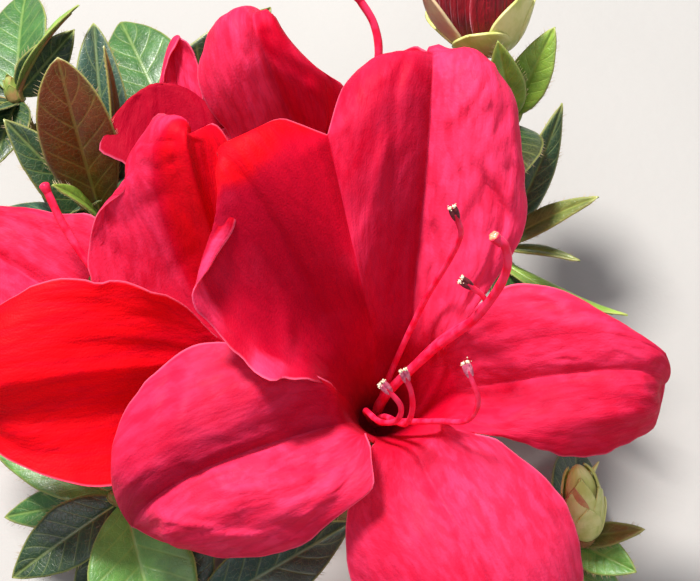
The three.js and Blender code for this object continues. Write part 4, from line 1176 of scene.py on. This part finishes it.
spray("low_right", 23, [[-12, -22, -34], [5, -25, -31], [19.5, -24, -22], [22.5, -24, -20],
    [25, -23.9, -18]],
    leaf("light", [24.6, -24, -17.6], [32.4, -27.2, -11.5], 2.9, (-0.1, 0.2, 0.95)),
    leaf("olive", [24.8, -23.8, -17.6], [33.2, -21.2, -10], 1.7, (-0.5, 0.2, 0.8), blush=0.6),
    leaf("light", [24.4, -24.2, -18.6], [30.5, -42, -18], 4.6, (-0.1, 0.1, 0.97)),
    leaf("mid", [24, -24, -19], [12, -41, -26], 4.6, (0, 0.3, 0.93)),
    leaf("dark", [23.6, -24, -19.6], [28, -12, -38], 4, (0.4, 0.5, 0.7)),
    leaf("dark", [23.2, -24, -20], [26, -33, -31], 4, (0.3, 0.3, 0.85)),
)
spray("low_left", 29, [[-19, -29, -28], [-28, -24, -26], [-35, -20, -21], [-36.6, -19, -19.4],
    [-37.9, -18.3, -18]],
    leaf("light", [-37.9, -18.6, -17.6], [-31, -41, -12], 7.4, (0.1, 0.2, 0.95), 0.04),
    leaf("dark", [-38.2, -18.4, -18.6], [-53.4, -29, -17], 4.4, (0.1, 0.3, 0.93)),
    leaf("light", [-38.2, -18, -18.8], [-57, -12, -22], 3.4, (0.1, 0.3, 0.93)),
    leaf("mid", [-37.8, -18.6, -19.6], [-56, -21.6, -24], 3.4, (0.1, 0.4, 0.9)),
    leaf("dark", [-37, -19, -20], [-44, -38, -22], 4.4, (0, 0.2, 0.95)),
)
spray("low_middle", 31, [[-21.5, -38.5, -21.5], [-25, -37, -19.4], [-27.2, -35.2, -18.2],
    [-27.8, -34.6, -17.8], [-28.4, -33.8, -17.2]],
    leaf("blue", [-28, -34, -17.6], [-6.2, -21.8, -21], 5, (0.1, 0.1, 0.97)),
    leaf("cool", [-28.6, -33.6, -17.6], [-29.4, -19, -21], 3.4, (0.2, 0.2, 0.95)),
    leaf("blue", [-28, -34.2, -17.8], [-13, -48, -15], 4.6, (0.1, 0.1, 0.97)),
    leaf("mid", [-28.6, -34.2, -17.8], [-43, -47, -11], 4.6, (0.1, 0.1, 0.97)),
)
spray("under_bud", 37, [[-5.4, -7.6, -42], [4, 13, -41], [14.6, 31, -31], [16.2, 34, -29],
    [17.2, 36.4, -27.6]],
    leaf("olive", [17, 36.2, -27], [6.4, 44.6, -18.5], 3, (0.5, 0.3, 0.8), blush=0.5),
    leaf("fresh", [17.2, 36.4, -27], [22.4, 48, -19.5], 3, (-0.3, -0.3, 0.9)),
    leaf("fresh", [17.2, 36.2, -26.6], [14, 45.4, -15.5], 2.6, (0.1, -0.7, 0.6)),
    *whorl([16.8, 35.8, -28], [0.1, 0.8, 0.5], 23, (190, 85, 16), (260, 95, 18)),
)
spray("back", 41, [[-9.6, -6, -43], [-8, 10, -49], [-6, 26, -49], [-5.4, 29.6, -48.6], [-5, 32, -48]],
    *whorl([-5, 31.8, -48.2], [0, 0.9, 0.1], 29, (30, 70, 22), (150, 75, 22), (205, 85, 20),
        (335, 85, 20), (270, 70, 20)),
)
spray("stem_left", 43, [[-41, -80, 3.6], [-50, -72, -1], [-57, -64, -5], [-59, -61, -6],
    [-60.5, -58, -7]],
    *whorl([-60.4, -58.4, -7], [-0.4, 0.8, 0.3], 31, (20, 70, 20), (90, 65, 22), (160, 75, 24),
        (230, 80, 20), (300, 80, 18)),
)
spray("stem_right", 47, [[-24, -52, -14], [-13, -53, -13.4], [-4, -54, -11], [-1, -54.4, -10],
    [2, -54.6, -9]],
    *whorl([1.6, -54.6, -9], [0.9, 0, 0.3], 37, (0, 70, 22), (75, 70, 20), (140, 75, 22), (215, 80, 24),
        (290, 75, 20)),
)

DOWN.piece("hairs", "stalks", [HAIR])

# Floor, light and camera

FLOOR_HALF = 2
SENSOR = 36
VIEW_DISTANCE = 200
VIEW_WIDTH = 89.74  # what the photograph's width spans at the front bloom's mouth


def floor_material():
    g = Graph("pale_floor")
    place = g.node("TexCoord", "Object", {})
    cloud = g.noise(place, 6, 4)
    shade = g.tint((158, 156, 153), (166, 164, 161), g.ease(cloud, 0.3, 0.7))
    rough = g.ease(cloud, 0.3, 0.7, 0.8, 0.9)
    return g.finish(shade, rough, g.bump(g.noise(place, 400), 0.0001), 0.2)


def looking(place, aim, up):
    """A matrix that puts something at a place, turned to face an aim."""
    back = unit(place - aim)
    side = unit(cross(up, back))
    made = np.eye(4)
    made[:3] = stack([side, cross(back, side), back, place / 1000], -1)
    return Matrix(made.tolist())


def softbox(name, place, size, watts, color):
    light = bpy.data.lights.new(name, "AREA")
    light.shape = "DISK"
    light.size = size
    light.energy = watts
    light.color = color
    up = OUT if abs(place[2]) < 300 else UP
    linked(name, light).matrix_world = looking(at(place), at([-6, 0, -15]), up)


mesh = bpy.data.meshes.new("floor")
corners = [(x * FLOOR_HALF, y * FLOOR_HALF, 0) for x, y in ((-1, -1), (1, -1), (1, 1), (-1, 1))]
mesh.from_pydata(corners, [], [(0, 1, 2, 3)])
mesh.materials.append(floor_material())
linked("floor", mesh)
softbox("key", [-165, 390, 308], 0.11, 6.6, (1, 0.97, 0.94))
softbox("fill", [-60, 40, 510], 0.4, 1, (0.95, 0.96, 1))
softbox("side", [380, 160, 260], 0.35, 0.35, (1, 0.98, 0.96))

world = bpy.data.worlds.new("studio")
world.use_nodes = True
sky = world.node_tree.nodes["Background"].inputs
sky["Color"].default_value = (0.86, 0.9, 1, 1)
sky["Strength"].default_value = 0.3
bpy.context.scene.world = world
bpy.context.scene.view_settings.view_transform = "Standard"

aim = at([-6.41, 10.96, 0])
camera = linked("camera", bpy.data.cameras.new("camera"))
camera.data.sensor_width = SENSOR
camera.data.lens = SENSOR * VIEW_DISTANCE / VIEW_WIDTH
camera.data.clip_start = 0.01
camera.matrix_world = looking(aim + OUT * VIEW_DISTANCE, aim, UP)
bpy.context.scene.camera = camera
